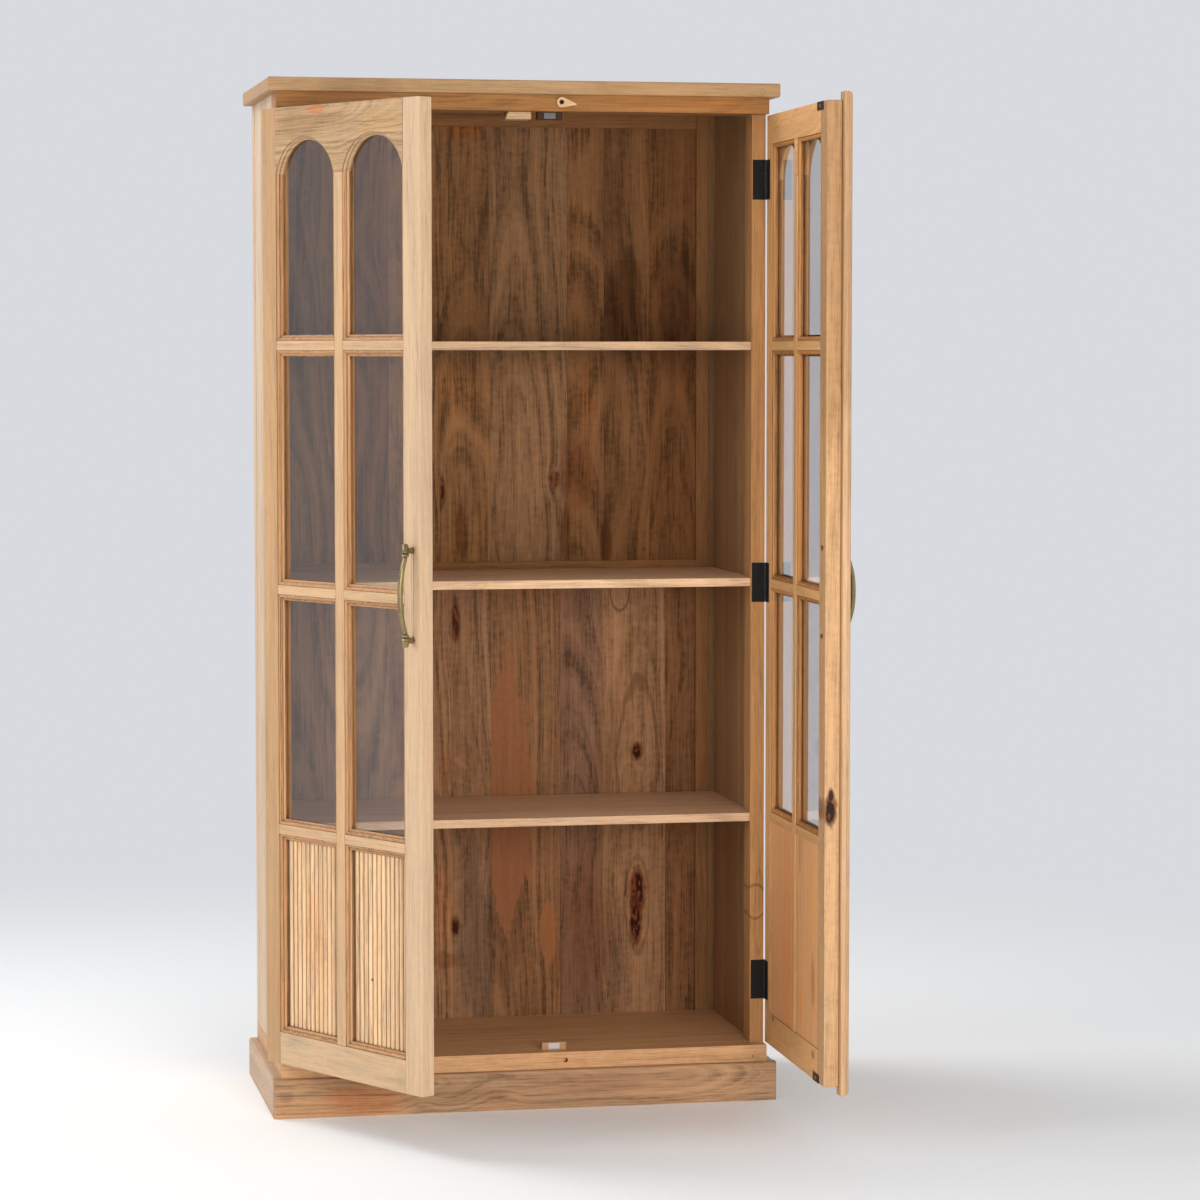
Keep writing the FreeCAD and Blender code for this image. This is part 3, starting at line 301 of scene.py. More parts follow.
DRIFT_WAVES = (6.0, 6.0, 1.5)
FIBRE_WAVES = (330.0, 330.0, 8.0)
FINE_WAVES = (950.0, 950.0, 26.0)
STREAK_WAVES = (62.0, 62.0, 1.6)
MOTTLE_WAVES = (80.0, 80.0, 110.0)
SWELL_WAVES = (2.0, 2.0, 2.6)
WARM_WAVES = (7.0, 7.0, 1.7)
COOL_WAVES = (9.0, 9.0, 1.2)
PALE_WAVES = (6.0, 6.0, 0.9)
FLECK_WAVES = (420.0, 420.0, 11.0)
PORE_WAVES = (1000.0, 1000.0, 45.0)
PATCH_EDGE_WAVES = (46.0, 46.0, 9.0)
FLAME_EDGE_WAVES = (52.0, 52.0, 17.0)
EYE_EDGE_WAVES = (18.0, 18.0, 9.0)
KNOT_EDGE_WAVES = (120.0, 120.0, 60.0)
KNOT_HEART_WAVES = (150.0, 150.0, 70.0)


class Wood(Recipe):
    """Planed and waxed wood in the making. Each lay_ call lays one thing over the colour so far.

    In its look, the heart of the log lies so far aside of the board and behind it, lean is how the log leans
    along the board, and ring is the width of a growth ring. A board finish varies from piece to piece of a
    mesh, and a boards finish follows the boards of a row. Marks are given by place, half width and half
    length, then a patch by its tint and share, a knot by its pull on the grain and its darkness and an eye by
    its share. A dot is given by place and radius.
    """

    def __init__(self, name, middle, turn, seed, look):
        super().__init__(name)
        self.look = look
        self.turn = turn
        self.middle = turn @ Vector(middle)
        self.place = self.node("TexCoord").outputs["Object"]
        turned = {0: self.place, "Location": -self.middle, "Rotation": turn.to_euler("XYZ")}
        self.plain = self.node("Mapping", turned).outputs[0]
        self.grain, self.pick = self.plain, None
        far, self.off = (seed, seed * 2.3, seed * 3.1), (0.0, 0.0, 0.0)
        if look["boards"]:
            self.grain = self.node("Attribute", attribute_name="board_place").outputs["Vector"]
            self.pick = self.node("Attribute", attribute_name="board_pick").outputs["Fac"]
        elif look["board"]:
            self.pick = self.node("NewGeometry").outputs["Random Per Island"]
        if look["board"] or look["boards"]:
            own_seed = {"W": self.calc("ADD", self.pick, seed)}
            throw = self.node("TexWhiteNoise", own_seed, noise_dimensions="1D").outputs["Color"]
            far = self.move(self.stretch(throw, (3.0, 3.0, 9.0)), (seed, seed * 2.0, seed * 3.0))
            self.off = self.move(self.stretch(throw, (0.07, 0.03, 0.0)), (-0.035, 0.0, 0.0))
        self.field = self.move(self.grain, far)
        drift = self.move(self.cloud(self.field, DRIFT_WAVES, 2.0, 0.5, "Color"), (-0.5, -0.5, -0.5))
        self.drift = self.stretch(drift, (look["warp"] * 2, look["warp"] * 2, 0.0))
        self.flow = self.move(self.field, self.drift)
        self.fibre = self.cloud(self.flow, FIBRE_WAVES, 3.0, 0.65)
        self.knots = [
            (self.ragged(self.plain, KNOT_EDGE_WAVES, 1.1, self.from_spot(spot, wide, long)), pull, dark)
            for spot, wide, long, pull, dark in look["knots"]
        ]
        self.bands = self.growth_rings()

    def from_spot(self, spot, wide, long):
        """How far from spot: 1 on the rim of an oval so wide across the grain and so long along it."""
        centre = self.turn @ Vector(spot) - self.middle
        return self.reach(self.stretch(self.move(self.plain, -centre), (1 / wide, 0.0, 1 / long)))

    def ragged(self, vector, waves, share, value, rough=0.5):
        """A value whose even course is broken by noise."""
        return self.calc("MULTIPLY_ADD", self.cloud(vector, waves, 3.0, rough), share, value)

    def growth_rings(self):
        """Growth rings round a heart outside the board, bent by each knot's pull."""
        look = self.look
        across, deep, along = self.parts(self.move(self.move(self.grain, self.off), self.drift))[:3]
        most = 0.075
        swell = self.calc("MULTIPLY", self.cloud(self.field, SWELL_WAVES, 1.0), most)
        deep = self.calc("MULTIPLY_ADD", along, look["lean"], deep)
        deep = self.calc("ADD", deep, self.calc("ADD", swell, look["heart"][1] - most / 2))
        across = self.calc("ADD", across, look["heart"][0])
        rings = self.reach(self.node("CombineXYZ", {0: across, 1: deep, 2: 0.0}).outputs[0])
        rings = self.calc("MULTIPLY_ADD", self.fibre, 0.5, self.calc("DIVIDE", rings, look["ring"]))
        for edge, pull, _ in self.knots:
            rings = self.calc("ADD", rings, self.between(edge, 0.4, 4.0, pull, 0.0))
        return self.line(rings, 3.0, 0.6)

    def body(self, colour):
        """The plain wood: rings, fibres and streaks, then warm, cool and pale clouds."""
        look = self.look
        value = 0.5
        for part, share in (
            (self.bands, look["figure"]),
            (self.fibre, look["fibre"]),
            (self.cloud(self.flow, FINE_WAVES, 1.0), look["fibre"] * 0.6),
            (self.cloud(self.flow, STREAK_WAVES, 3.0, 0.55), look["streak"]),
            (self.cloud(self.flow, MOTTLE_WAVES, 1.0), look["mottle"]),
        ):
            value = self.calc("MULTIPLY_ADD", self.calc("SUBTRACT", part, 0.5), share, value)
        if look["board"]:
            value = self.calc("MULTIPLY_ADD", self.calc("SUBTRACT", self.pick, 0.5), look["spread"], value)
        depth = look["depth"]
        base = self.ramp(
            value,
            (0.26, shade(colour, 1 - depth * 1.5)),
            (0.43, shade(colour, 1 - depth * 0.4)),
            (0.53, colour),
            (0.74, shade(colour, 1 + depth * 0.7)),
        )
        for tint, share, shift, waves in (
            (WARM, look["warm"], 0.0, WARM_WAVES),
            (COOL, look["cool"], 3.0, COOL_WAVES),
            (PALE, look["pale"], 7.0, PALE_WAVES),
        ):
            cloud = self.cloud(self.move(self.flow, (shift, shift, shift)), waves, 3.0, 0.6)
            base = self.mix(self.between(cloud, 0.5, 0.7, 0.0, share), base, tint, "MULTIPLY")
        if look["boards"]:
            tint = self.node("Attribute", attribute_name="board_tint").outputs["Color"]
            base = self.mix(1.0, base, tint, "MULTIPLY")
        flecks = self.between(self.cloud(self.flow, FLECK_WAVES, 2.0), 0.56, 0.72, 0.0, look["fleck"])
        return self.mix(flecks, base, DEEP, "MULTIPLY")

    def lay_patches(self, base):
        """Tinted patches, each an oval with ragged ends."""
        for spot, wide, long, tint, share in self.look["patches"]:
            aside = self.calc("SUBTRACT", self.from_spot(spot, wide, long), 0.7)
            edge = self.ragged(self.flow, PATCH_EDGE_WAVES, 1.4, aside, 0.6)
            base = self.mix(self.between(edge, 0.55, 1.15, share, 0.0), base, tint, "MULTIPLY")
        return base

    def lay_flames(self, base):
        """Tongues of another colour that grow from one height and end at another, on one side of a joint."""
        middle = self.middle
        for low, high, centre, wide, joint, colour in self.look["flames"]:
            across, _, along = self.parts(self.plain)[:3]
            rise = self.between(along, low[0] - middle.z, low[1] - middle.z)
            fall = self.between(along, high[0] - middle.z, high[1] - middle.z, 1.0, 0.0)
            half = self.calc("MULTIPLY", self.calc("MINIMUM", rise, fall), wide)
            ragged = self.ragged(self.plain, FLAME_EDGE_WAVES, wide * 1.5, -0.75 * wide, 0.7)
            aside = self.calc("ADD", self.calc("SUBTRACT", across, centre - middle.x), ragged)
            inside = self.calc("SUBTRACT", half, self.calc("ABSOLUTE", aside))
            mask = self.between(inside, 0.0, 0.002, 0.0, 0.9)
            edge = joint - middle.x
            mask = self.calc("MULTIPLY", mask, self.between(across, edge - 0.0004, edge + 0.0004))
            base = self.mix(mask, base, self.mix(0.25, colour, base))
        return base

    def lay_eyes(self, base):
        """Thin dark rings, such as grain draws round a knot."""
        for spot, wide, long, share in self.look["eyes"]:
            aside = self.calc("SUBTRACT", self.from_spot(spot, wide, long), 0.25)
            bent = self.calc("MULTIPLY_ADD", self.cloud(self.plain, EYE_EDGE_WAVES, 2.0), 0.5, aside)
            rim = self.calc("ABSOLUTE", self.calc("SUBTRACT", bent, 1.0))
            base = self.mix(self.between(rim, 0.03, 0.13, share, 0.0), base, DEEP, "MULTIPLY")
        return base

    def lay_pores(self, base):
        self.pores = self.between(self.cloud(self.field, PORE_WAVES, 1.0), 0.62, 0.72, 0.0, self.look["pore"])
        return self.mix(self.pores, base, DEEP, "MULTIPLY")

    def lay_knots(self, base):
        for edge, _, dark in self.knots:
            base = self.mix(self.between(edge, 1.6, 2.2, dark * 0.8, 0.0), base, KNOT_RIM)
            heart = self.between(self.cloud(self.plain, KNOT_HEART_WAVES, 2.0), 0.5, 0.62)
            core = self.mix(heart, KNOT_DARK, KNOT_HEART)
            base = self.mix(self.between(edge, 1.35, 1.6, dark, 0.0), base, core)
        return base

    def lay_dots(self, base):
        """Small dark holes and nail heads."""
        for spot, radius in self.look["dots"]:
            near = self.between(self.from_spot(spot, radius, radius), 0.7, 1.1, 0.9, 0.0)
            base = self.mix(near, base, KNOT_DARK)
        return base

    def lay_inside_shade(self, base):
        """Painted shade that darkens the faces which look into the cabinet."""
        if not self.look["inner"]:
            return base
        limit, tint = self.look["inner"]
        aside = self.calc("ABSOLUTE", self.parts(self.place)[0])
        inside = self.between(aside, limit - 0.001, limit + 0.001, 1.0, 0.0)
        return self.mix(inside, base, tint, "MULTIPLY")

    def lay_stain(self, base):
        """Painted shade in grooves and corners, darkest where they are most sheltered."""
        look = self.look
        if not look["stain"]:
            return base
        shelter = self.node("AmbientOcclusion", {"Distance": look["stain_reach"]}, samples=8).outputs["AO"]
        sheltered = self.between(shelter, 0.4, 0.95, look["stain"], 0.0)
        return self.mix(sheltered, base, CREVICE_SHADE, "MULTIPLY")

    def waxed(self, base):
        height = self.calc("MULTIPLY_ADD", self.fibre, 0.6, self.bands)
        height = self.calc("MULTIPLY_ADD", self.pores, -0.8, height)
        middle = self.look["gloss"]
        gloss = self.between(self.fibre, 0.25, 0.75, middle - 0.07, middle + 0.09)
        normal = self.bump(height, 0.18, 0.0004)
        specular = self.look["specular"]
        return self.surface(
            self.coat(base_color=base, roughness=gloss, specular_ior_level=specular, normal=normal)
        )


def wood(name, middle, turn, colour, seed, **own):
    """The finish of a wooden piece, given its middle and the turn that lays its grain along z."""
    w = Wood(name, middle, turn, seed, {**WOOD_LOOK, **own})
    base = w.body(colour)
    for layer in (
        w.lay_patches, w.lay_flames, w.lay_eyes, w.lay_pores, w.lay_knots, w.lay_dots, w.lay_inside_shade,
        w.lay_stain,
    ):
        base = layer(base)
    return w.waxed(base)


def clear_glass(name, colour):
    """Thin clear glass that lets lamp light through to the shelves behind it."""
    r = Recipe(name)
    place = r.node("TexCoord").outputs["Object"]
    smear = r.between(r.cloud(place, (9.0, 9.0, 3.0), 3.0), 0.35, 0.75, 0.005, 0.045)
    glass = r.coat(base_color=opaque(colour), roughness=smear, ior=1.5, transmission_weight=1.0)
    clear = r.node("BsdfTransparent", {"Color": opaque(shade(colour, 0.93))}).outputs[0]
    shadow = r.node("LightPath").outputs["Is Shadow Ray"]
    return r.surface(r.node("MixShader", {0: shadow, 1: glass, 2: clear}).outputs[0])


def old_brass(name, colour):
    """Brass left dark in its hollows and rubbed bright where a hand meets it."""
    r = Recipe(name)
    place = r.node("TexCoord").outputs["Object"]
    cloud = r.cloud(place, (60.0, 60.0, 30.0), 3.0, 0.6)
    shelter = r.node("AmbientOcclusion", {"Distance": 0.003}, samples=8).outputs["AO"]
    rubbed = r.calc("MULTIPLY", r.between(shelter, 0.6, 0.97), r.between(cloud, 0.3, 0.6, 0.55, 1.0))
    base = r.mix(rubbed, tone(46, 36, 22), colour)
    gloss = r.between(cloud, 0.3, 0.7, 0.28, 0.46)
    scratches = r.cloud(place, (900.0, 900.0, 90.0), 2.0)
    normal = r.bump(scratches, 0.12, 0.0003)
    return r.surface(r.coat(base_color=base, metallic=0.92, roughness=gloss, normal=normal))


def coated_metal(name, colour, metallic, rough, grain=420.0):
    """Painted or plated metal with a fine tooth and slight wear."""
    r = Recipe(name)
    place = r.node("TexCoord").outputs["Object"]
    tooth = r.cloud(place, (grain, grain, grain), 2.0)
    cloud = r.cloud(place, (45.0, 45.0, 45.0), 3.0)
    base = r.mix(r.between(cloud, 0.4, 0.75, 0.0, 0.5), colour, shade(colour, 1.7))
    gloss = r.between(cloud, 0.3, 0.7, rough - 0.08, rough + 0.1)
    return r.surface(
        r.coat(base_color=base, metallic=metallic, roughness=gloss, normal=r.bump(tooth, 0.1, 0.0002))
    )


def catch_metal(name, below, above, metallic, rough):
    """The catches' parts: one tone at the bottom of the opening and another at its top."""
    r = Recipe(name)
    place = r.node("TexCoord").outputs["Object"]
    tooth = r.cloud(place, (500.0, 500.0, 500.0), 2.0)
    base = r.mix(r.between(r.parts(place)[2], 0.9, 1.0), below, above)
    base = r.mix(r.between(tooth, 0.3, 0.8, 0.0, 0.25), base, shade(below, 0.4))
    gloss = r.between(tooth, 0.3, 0.7, rough - 0.06, rough + 0.08)
    return r.surface(
        r.coat(base_color=base, metallic=metallic, roughness=gloss, normal=r.bump(tooth, 0.08, 0.0002))
    )


# Shapes


def corner_group(limit):
    """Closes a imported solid's split corners, and shades it smooth except over edges sharper than limit."""
    name = f"closed_corners_{int(math.degrees(limit))}"
    group = bpy.data.node_groups.get(name)
    if group:
        return group
    group = bpy.data.node_groups.new(name, "GeometryNodeTree")
    for way in ("INPUT", "OUTPUT"):
        group.interface.new_socket("Geometry", in_out=way, socket_type="NodeSocketGeometry")
    add, join = group.nodes.new, group.links.new
    start, end = add("NodeGroupInput"), add("NodeGroupOutput")
    close = add("GeometryNodeMergeByDistance")
    close.inputs["Distance"].default_value = 0.00002
    forget = add("GeometryNodeRemoveAttribute")
    forget.inputs["Name"].default_value = "custom_normal"
    soft = add("GeometryNodeSetShadeSmooth")
    crisp = add("GeometryNodeSetShadeSmooth")
    crisp.domain = "EDGE"
    crisp.inputs["Shade Smooth"].default_value = False
    angle = add("GeometryNodeInputMeshEdgeAngle")
    sharp = add("FunctionNodeCompare")
    sharp.operation = "GREATER_THAN"
    sharp.inputs[1].default_value = limit
    join(start.outputs[0], forget.inputs[0])
    join(forget.outputs[0], close.inputs[0])
    join(close.outputs[0], soft.inputs[0])
    join(soft.outputs[0], crisp.inputs[0])
    join(angle.outputs["Unsigned Angle"], sharp.inputs[0])
    join(sharp.outputs[0], crisp.inputs["Selection"])
    join(crisp.outputs[0], end.inputs[0])
    return group


def closed(piece, limit=40):
    closing = piece.modifiers.new("closed corners", "NODES")
    closing.node_group = corner_group(math.radians(limit))


def eased(piece, width, limit=40, segments=2):
    """Eases a piece's sharp edges, as sandpaper does."""
    closed(piece, limit)
    ease = piece.modifiers.new("eased edges", "BEVEL")
    ease.width = width
    ease.segments = segments
    ease.limit_method = "ANGLE"
    ease.angle_limit = math.radians(limit)
    ease.use_clamp_overlap = True
    even = piece.modifiers.new("even light", "WEIGHTED_NORMAL")
    even.keep_sharp = True


def finish_piece(piece, material):
    piece.data.materials.clear()
    piece.data.materials.append(material)


def new_piece(name, mesh_maker, material, body):
    """A new piece whose mesh is in the cabinet's own frame, riding on body."""
    mesh = bpy.data.meshes.new(name)
    bm = bmesh.new()
    mesh_maker(bm)
    bmesh.ops.recalc_face_normals(bm, faces=bm.faces)
    bm.to_mesh(mesh)
    bm.free()
    piece = bpy.data.objects.new(name, mesh)
    bpy.context.scene.collection.objects.link(piece)
    if material:
        finish_piece(piece, material)
    if body:
        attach(piece, body)
    return piece


# What the boards of a row differ by, and how their grain and edges follow from their number

BOARD_TINTS = {
    "plain": (0.98, 1.02, 1.05),
    "grey": (0.96, 1.08, 1.28),
    "pale": (1.1, 1.14, 1.24),
    "red": (0.74, 0.68, 0.64),
    "dull": (0.74, 0.77, 0.94),
    "dusk": (0.72, 0.71, 0.7),
    "warm": (0.9, 0.9, 0.92),
}
PICK_STEP = 0.618034
PICK_START_SHARE = 0.37
JOINED_EASE_SHARE = 0.12


def board_row(name, node, axis, material, ease, kinds, joined=()):
    """The boards of a node side by side, each with its own tint. A joined one goes on in the same grain."""
    places = sorted({round(v.co[axis], 5) for v in NODES[node].data.vertices})
    low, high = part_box(node)
    near, far = low[1 - axis], high[1 - axis]

    def boards(bm):
        layer_place = bm.verts.layers.float_vector.new("board_place")
        layer_tint = bm.verts.layers.float_vector.new("board_tint")
        layer_pick = bm.verts.layers.float.new("board_pick")
        for number, (start, end) in enumerate(zip(places, places[1:])):
            if number not in joined:
                origin = (start + end) / 2
                pick = (number * PICK_STEP + len(places) * PICK_START_SHARE) % 1.0
            first = ease * JOINED_EASE_SHARE if number in joined else ease
            last = ease * JOINED_EASE_SHARE if number + 1 in joined else ease
            outline = [
                (start + first, near), (end - last, near), (end, near + last), (end, far - last),
                (end - last, far), (start + first, far), (start, far - first), (start, near + first),
            ]
            rings = []
            for z in (low.z, high.z):
                ring = []
                for a, d in outline:
                    vert = bm.verts.new(Vector((a, d, z)) if axis == 0 else Vector((d, a, z)))
                    vert[layer_place] = Vector((a - origin, d - near, z))
                    vert[layer_tint] = Vector(BOARD_TINTS[kinds[number]])
                    vert[layer_pick] = pick
                    ring.append(vert)
                rings.append(ring)
            bm.faces.new(rings[0][::-1])
            bm.faces.new(rings[1])
            for i in range(len(outline)):
                j = (i + 1) % len(outline)
                bm.faces.new((rings[0][i], rings[0][j], rings[1][j], rings[1][i]))

    piece = new_piece(name, boards, material, "carcass")
    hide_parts(node)
    return piece


def screw_heads(bm, places, out, radius, rise, spin=0.3):
    """Low domed heads with a cross recess, each on a place, looking along out."""
    out = Vector(out).normalized()
    side = out.orthogonal().normalized()
    up = out.cross(side)
    sides, shares = 24, (1.0, 0.97, 0.86, 0.66, 0.42, 0.2)
    for number, place in enumerate(places):
        turn = spin + number * 1.1
        rings = []
        for share in shares:
            ring = []
            for step in range(sides):
                angle = step * math.tau / sides
                x, y = math.cos(angle), math.sin(angle)
                height = 0.0 if share == 1.0 else rise * (0.35 + 0.65 * (1 - share * share))
                slot_width = 0.17
                if share < 0.7 and min(abs(x), abs(y)) * share < slot_width:
                    height -= rise * 0.75
                spun = (math.cos(angle + turn) * side + math.sin(angle + turn) * up) * radius * share
                ring.append(bm.verts.new(Vector(place) + spun + out * height))
            rings.append(ring)
        for lower, upper in zip(rings, rings[1:]):
            for i in range(sides):
                j = (i + 1) % sides
                bm.faces.new((lower[i], lower[j], upper[j], upper[i]))
        bm.faces.new(rings[-1])
        bm.faces.new(rings[0][::-1])


# Marks and tints of single pieces

BACK_LOOK = {
    "boards": True, "depth": 0.37, "warm": 0.5, "cool": 1.0, "pale": 1.0, "figure": 0.7, "fleck": 0.14,
    "streak": 0.6, "mottle": 0.32, "gloss": 0.66, "specular": 0.1,
}
# Warm tint of the doors' inner sides, partly the wood's own tone and partly painted shade as those faces look
# out of the light; the right door wears it on both its faces
INNER_SHADE_TINT = (1.14, 0.95, 0.66)


def plinth_marks():
    patches = (
        ((-0.428, 0.037), 0.012, 0.016, (0.72, 0.68, 0.74), 0.8),
        ((-0.281, 0.029), 0.030, 0.075, (1.10, 0.88, 0.76), 0.9),
        ((-0.150, 0.024), 0.030, 0.085, (0.80, 0.84, 0.84), 0.9),
        ((0.130, 0.040), 0.022, 0.110, (0.84, 0.78, 0.78), 0.7),
    )
    knots = (
        ((-0.190, 0.020), 0.010, 0.016, 1.6, 0.0),
        ((-0.060, 0.026), 0.012, 0.020, 1.3, 0.1),
    )
    node = "front_plinth_board"
    return {"patches": on_front(node, patches), "knots": on_front(node, knots)}


def lower_back_marks():
    """Knots, the rings round them, patches and two flames of the lower back boards."""
    knots = (
        ((0.275, 0.588), 0.008, 0.013, 2.4, 1.0),
        ((0.276, 0.325), 0.011, 0.036, 1.6, 1.0),
        ((0.272, 0.268), 0.009, 0.036, 1.6, 1.0),
        ((-0.067, 0.835), 0.006, 0.030, 1.5, 0.8),
        ((-0.069, 0.267), 0.006, 0.014, 1.5, 0.9),
    )
    eyes = (
        ((0.277, 0.580), 0.040, 0.130, 0.6),
        ((0.278, 0.560), 0.054, 0.230, 0.25),
        ((0.242, 0.895), 0.018, 0.042, 0.85),
        ((0.275, 0.300), 0.022, 0.090, 0.5),
    )
    patches = (
        ((-0.090, 0.300), 0.024, 0.070, (1.25, 1.12, 0.92), 0.9),
        ((-0.090, 0.206), 0.036, 0.016, (0.66, 0.55, 0.46), 0.7),
        ((0.030, 0.330), 0.046, 0.200, (0.68, 0.64, 0.66), 0.8),
        ((-0.040, 0.300), 0.030, 0.160, (0.76, 0.78, 0.82), 0.7),
        ((0.240, 0.800), 0.040, 0.110, (1.14, 1.16, 1.14), 0.8),
        ((0.225, 0.380), 0.014, 0.180, (1.16, 1.14, 1.04), 0.8),
        ((0.170, 0.240), 0.070, 0.120, (0.82, 0.76, 0.76), 0.8),
        ((0.150, 0.720), 0.050, 0.090, (0.90, 0.92, 0.98), 0.7),
        ((-0.084, 0.560), 0.012, 0.050, (0.90, 0.76, 0.62), 0.8),
    )
    joint = -0.0008
    flames = (
        ((0.195, 0.450), (0.590, 0.830), 0.028, 0.050, joint, SALMON),
        ((0.155, 0.240), (0.260, 0.330), 0.106, 0.016, joint, HONEY),
    )
    node = "lower_back_boards"
    return {
        "knots": on_front(node, knots), "eyes": on_front(node, eyes), "patches": on_front(node, patches),
        "flames": flames,
    }


def upper_back_marks():
    """Knots, patches and a small hole of the upper back boards."""
    knots = (
        ((0.119, 1.096), 0.008, 0.014, 1.5, 0.6),
        ((-0.091, 1.074), 0.004, 0.014, 1.5, 0.9),
    )
    patches = (
        ((-0.052, 1.740), 0.050, 0.024, (1.30, 0.95, 0.70), 0.9),
        ((0.255, 1.420), 0.045, 0.110, (0.52, 0.46, 0.42), 0.9),
        ((0.345, 1.410), 0.040, 0.130, (0.60, 0.56, 0.58), 0.9),
        ((0.340, 1.560), 0.030, 0.060, (0.92, 0.98, 1.10), 0.6),
        ((0.178, 1.230), 0.026, 0.060, (1.16, 1.00, 0.84), 0.8),
        ((0.160, 1.110), 0.036, 0.080, (0.78, 0.62, 0.54), 0.8),
        ((-0.060, 1.260), 0.034, 0.060, (1.18, 1.08, 0.94), 0.7),
        ((-0.055, 1.000), 0.012, 0.070, (0.60, 0.50, 0.42), 0.9),
        ((0.215, 0.970), 0.014, 0.050, (0.56, 0.46, 0.38), 0.9),
        ((0.140, 0.985), 0.010, 0.060, (0.58, 0.46, 0.38), 0.9),
        ((0.285, 0.990), 0.030, 0.060, (1.12, 1.12, 1.12), 0.7),
        ((0.050, 1.190), 0.250, 0.150, (1.16, 1.16, 1.18), 1.0),
    )
    dots = (((0.213, 1.505), 0.0016),)
    node = "upper_back_boards"
    return {"knots": on_front(node, knots), "patches": on_front(node, patches), "dots": on_front(node, dots)}


# The pieces of a door in the order that they are finished, and the grain of each

DOOR_LOOKS = {
    "hinge_stile": {"warm": 0.5},
    "meeting_stile": {"pale": 0.5, "fleck": 0.25},
    "upright_bar": {},
    "bottom_rail": {"cool": 0.4, "streak": 0.3},
    "cross_bars": {"board": True, "spread": 0.15},
    "arch_rail": {
        "stain": 0.6, "depth": 0.14, "figure": 0.8, "heart": (0.06, 0.04), "lean": 0.14, "ring": 0.0055,
        "warm": 0.5, "fleck": 0.15,
    },
    "mouldings": {"stain": 0.95, "stain_reach": 0.009, "board": True, "spread": 0.25, "depth": 0.4},
    "glazing_beads": {"stain": 0.6, "board": True, "spread": 0.3, "depth": 0.4},
    "reeded_panels": {
        "stain": 0.75, "stain_reach": 0.004, "board": True, "spread": 0.12, "depth": 0.3, "pale": 0.5,
        "cool": 0.15, "fleck": 0.5,
    },
}
DOOR_TINTS = {
    "left": {
        "hinge_stile": (0.76, 0.68, 0.56),
        "meeting_stile": (0.9, 0.93, 0.96),
        "upright_bar": (0.88, 0.84, 0.76),
        "bottom_rail": (0.86, 0.86, 0.84),
        "cross_bars": (0.9, 0.87, 0.8),
        "arch_rail": (0.68, 0.64, 0.55),
    },
    "right": {
        "hinge_stile": INNER_SHADE_TINT,
        "meeting_stile": (0.94, 0.92, 0.88),
        "upright_bar": INNER_SHADE_TINT,
        "bottom_rail": INNER_SHADE_TINT,
        "cross_bars": INNER_SHADE_TINT,
        "arch_rail": INNER_SHADE_TINT,
    },
}
LYING_PARTS = ("bottom_rail", "cross_bars", "arch_rail")


def left_door_marks():
    """Nail heads, dents, patches and swirls of the left door, each from its hinge line and the floor."""

    def at(along, height):
        return door_point("left", along, 0.0, height)

    nail_places = ((0.057, 1.634), (0.067, 1.628), (0.219, 1.624), (0.240, 1.631), (0.252, 1.629))
    nails = tuple((at(*place), 0.0014) for place in nail_places)
    groove = (0.42, 0.32, 0.24)
    return {
        "bottom_rail": {
            "patches": (
                (at(0.088, 0.140), 0.014, 0.040, (0.86, 0.92, 0.92), 0.8),
                (at(0.230, 0.122), 0.010, 0.060, (0.88, 0.94, 0.98), 0.7),
                (at(0.380, 0.125), 0.026, 0.018, (0.84, 0.90, 0.84), 0.7),
            ),
        },
        "arch_rail": {
            "depth": 0.28,
            "dots": nails,
            "patches": (
                (at(0.154, 1.738), 0.010, 0.026, (1.14, 0.76, 0.60), 0.95),
                (at(0.110, 1.716), 0.024, 0.080, (0.80, 0.74, 0.64), 0.85),
                (at(0.200, 1.722), 0.010, 0.060, (0.82, 0.76, 0.66), 0.8),
                (at(0.330, 1.712), 0.030, 0.070, (1.06, 1.02, 0.86), 0.7),
            ),
            "knots": (
                (at(0.310, 1.650), 0.018, 0.034, 5.0, 0.0),
                (at(0.135, 1.640), 0.016, 0.030, 3.0, 0.0),
            ),
        },
        "mouldings": {"dots": nails},
        "reeded_panels": {
            "dots": ((at(0.284, 0.275), 0.0024),),
            "patches": (
                (at(0.388, 0.259), 0.0022, 0.022, groove, 0.9),
                (at(0.388, 0.222), 0.0022, 0.012, groove, 0.9),
                (at(0.120, 0.340), 0.030, 0.080, (1.04, 0.88, 0.72), 0.7),
            ),
        },
    }


def right_door_marks():
    """Patches of the right door, each from its hinge line and the floor."""

    def at(along, height):
        return door_point("right", along, 0.0, height)

    return {
        "bottom_rail": {
            "patches": (
                (at(0.064, 0.150), 0.007, 0.008, (0.45, 0.36, 0.28), 0.9),
                (at(0.360, 0.140), 0.008, 0.016, (0.55, 0.44, 0.34), 0.9),
            ),
        },
        "reeded_panels": {
            "stain": 0.5, "depth": 0.14, "fleck": 0.1, "fibre": 0.4,
            "patches": (
                ((0.437, -0.545, 0.300), 0.042, 0.300, (1.06, 0.86, 0.74), 0.9),
                ((0.437, -0.726, 0.390), 0.011, 0.080, (1.12, 0.96, 0.60), 0.9),
                ((0.437, -0.731, 0.262), 0.013, 0.055, (0.72, 0.62, 0.54), 0.9),
                ((0.437, -0.640, 0.212), 0.010, 0.045, (1.05, 0.88, 0.52), 0.9),
                ((0.437, -0.632, 0.476), 0.012, 0.045, (0.74, 0.74, 0.72), 0.9),
            ),
        },
    }


# Operators


class Dressing:
    """What the operators share."""

    bl_options = {"REGISTER", "UNDO"}

    @property
    def looks(self):
        return bpy.context.scene.cabinet_looks


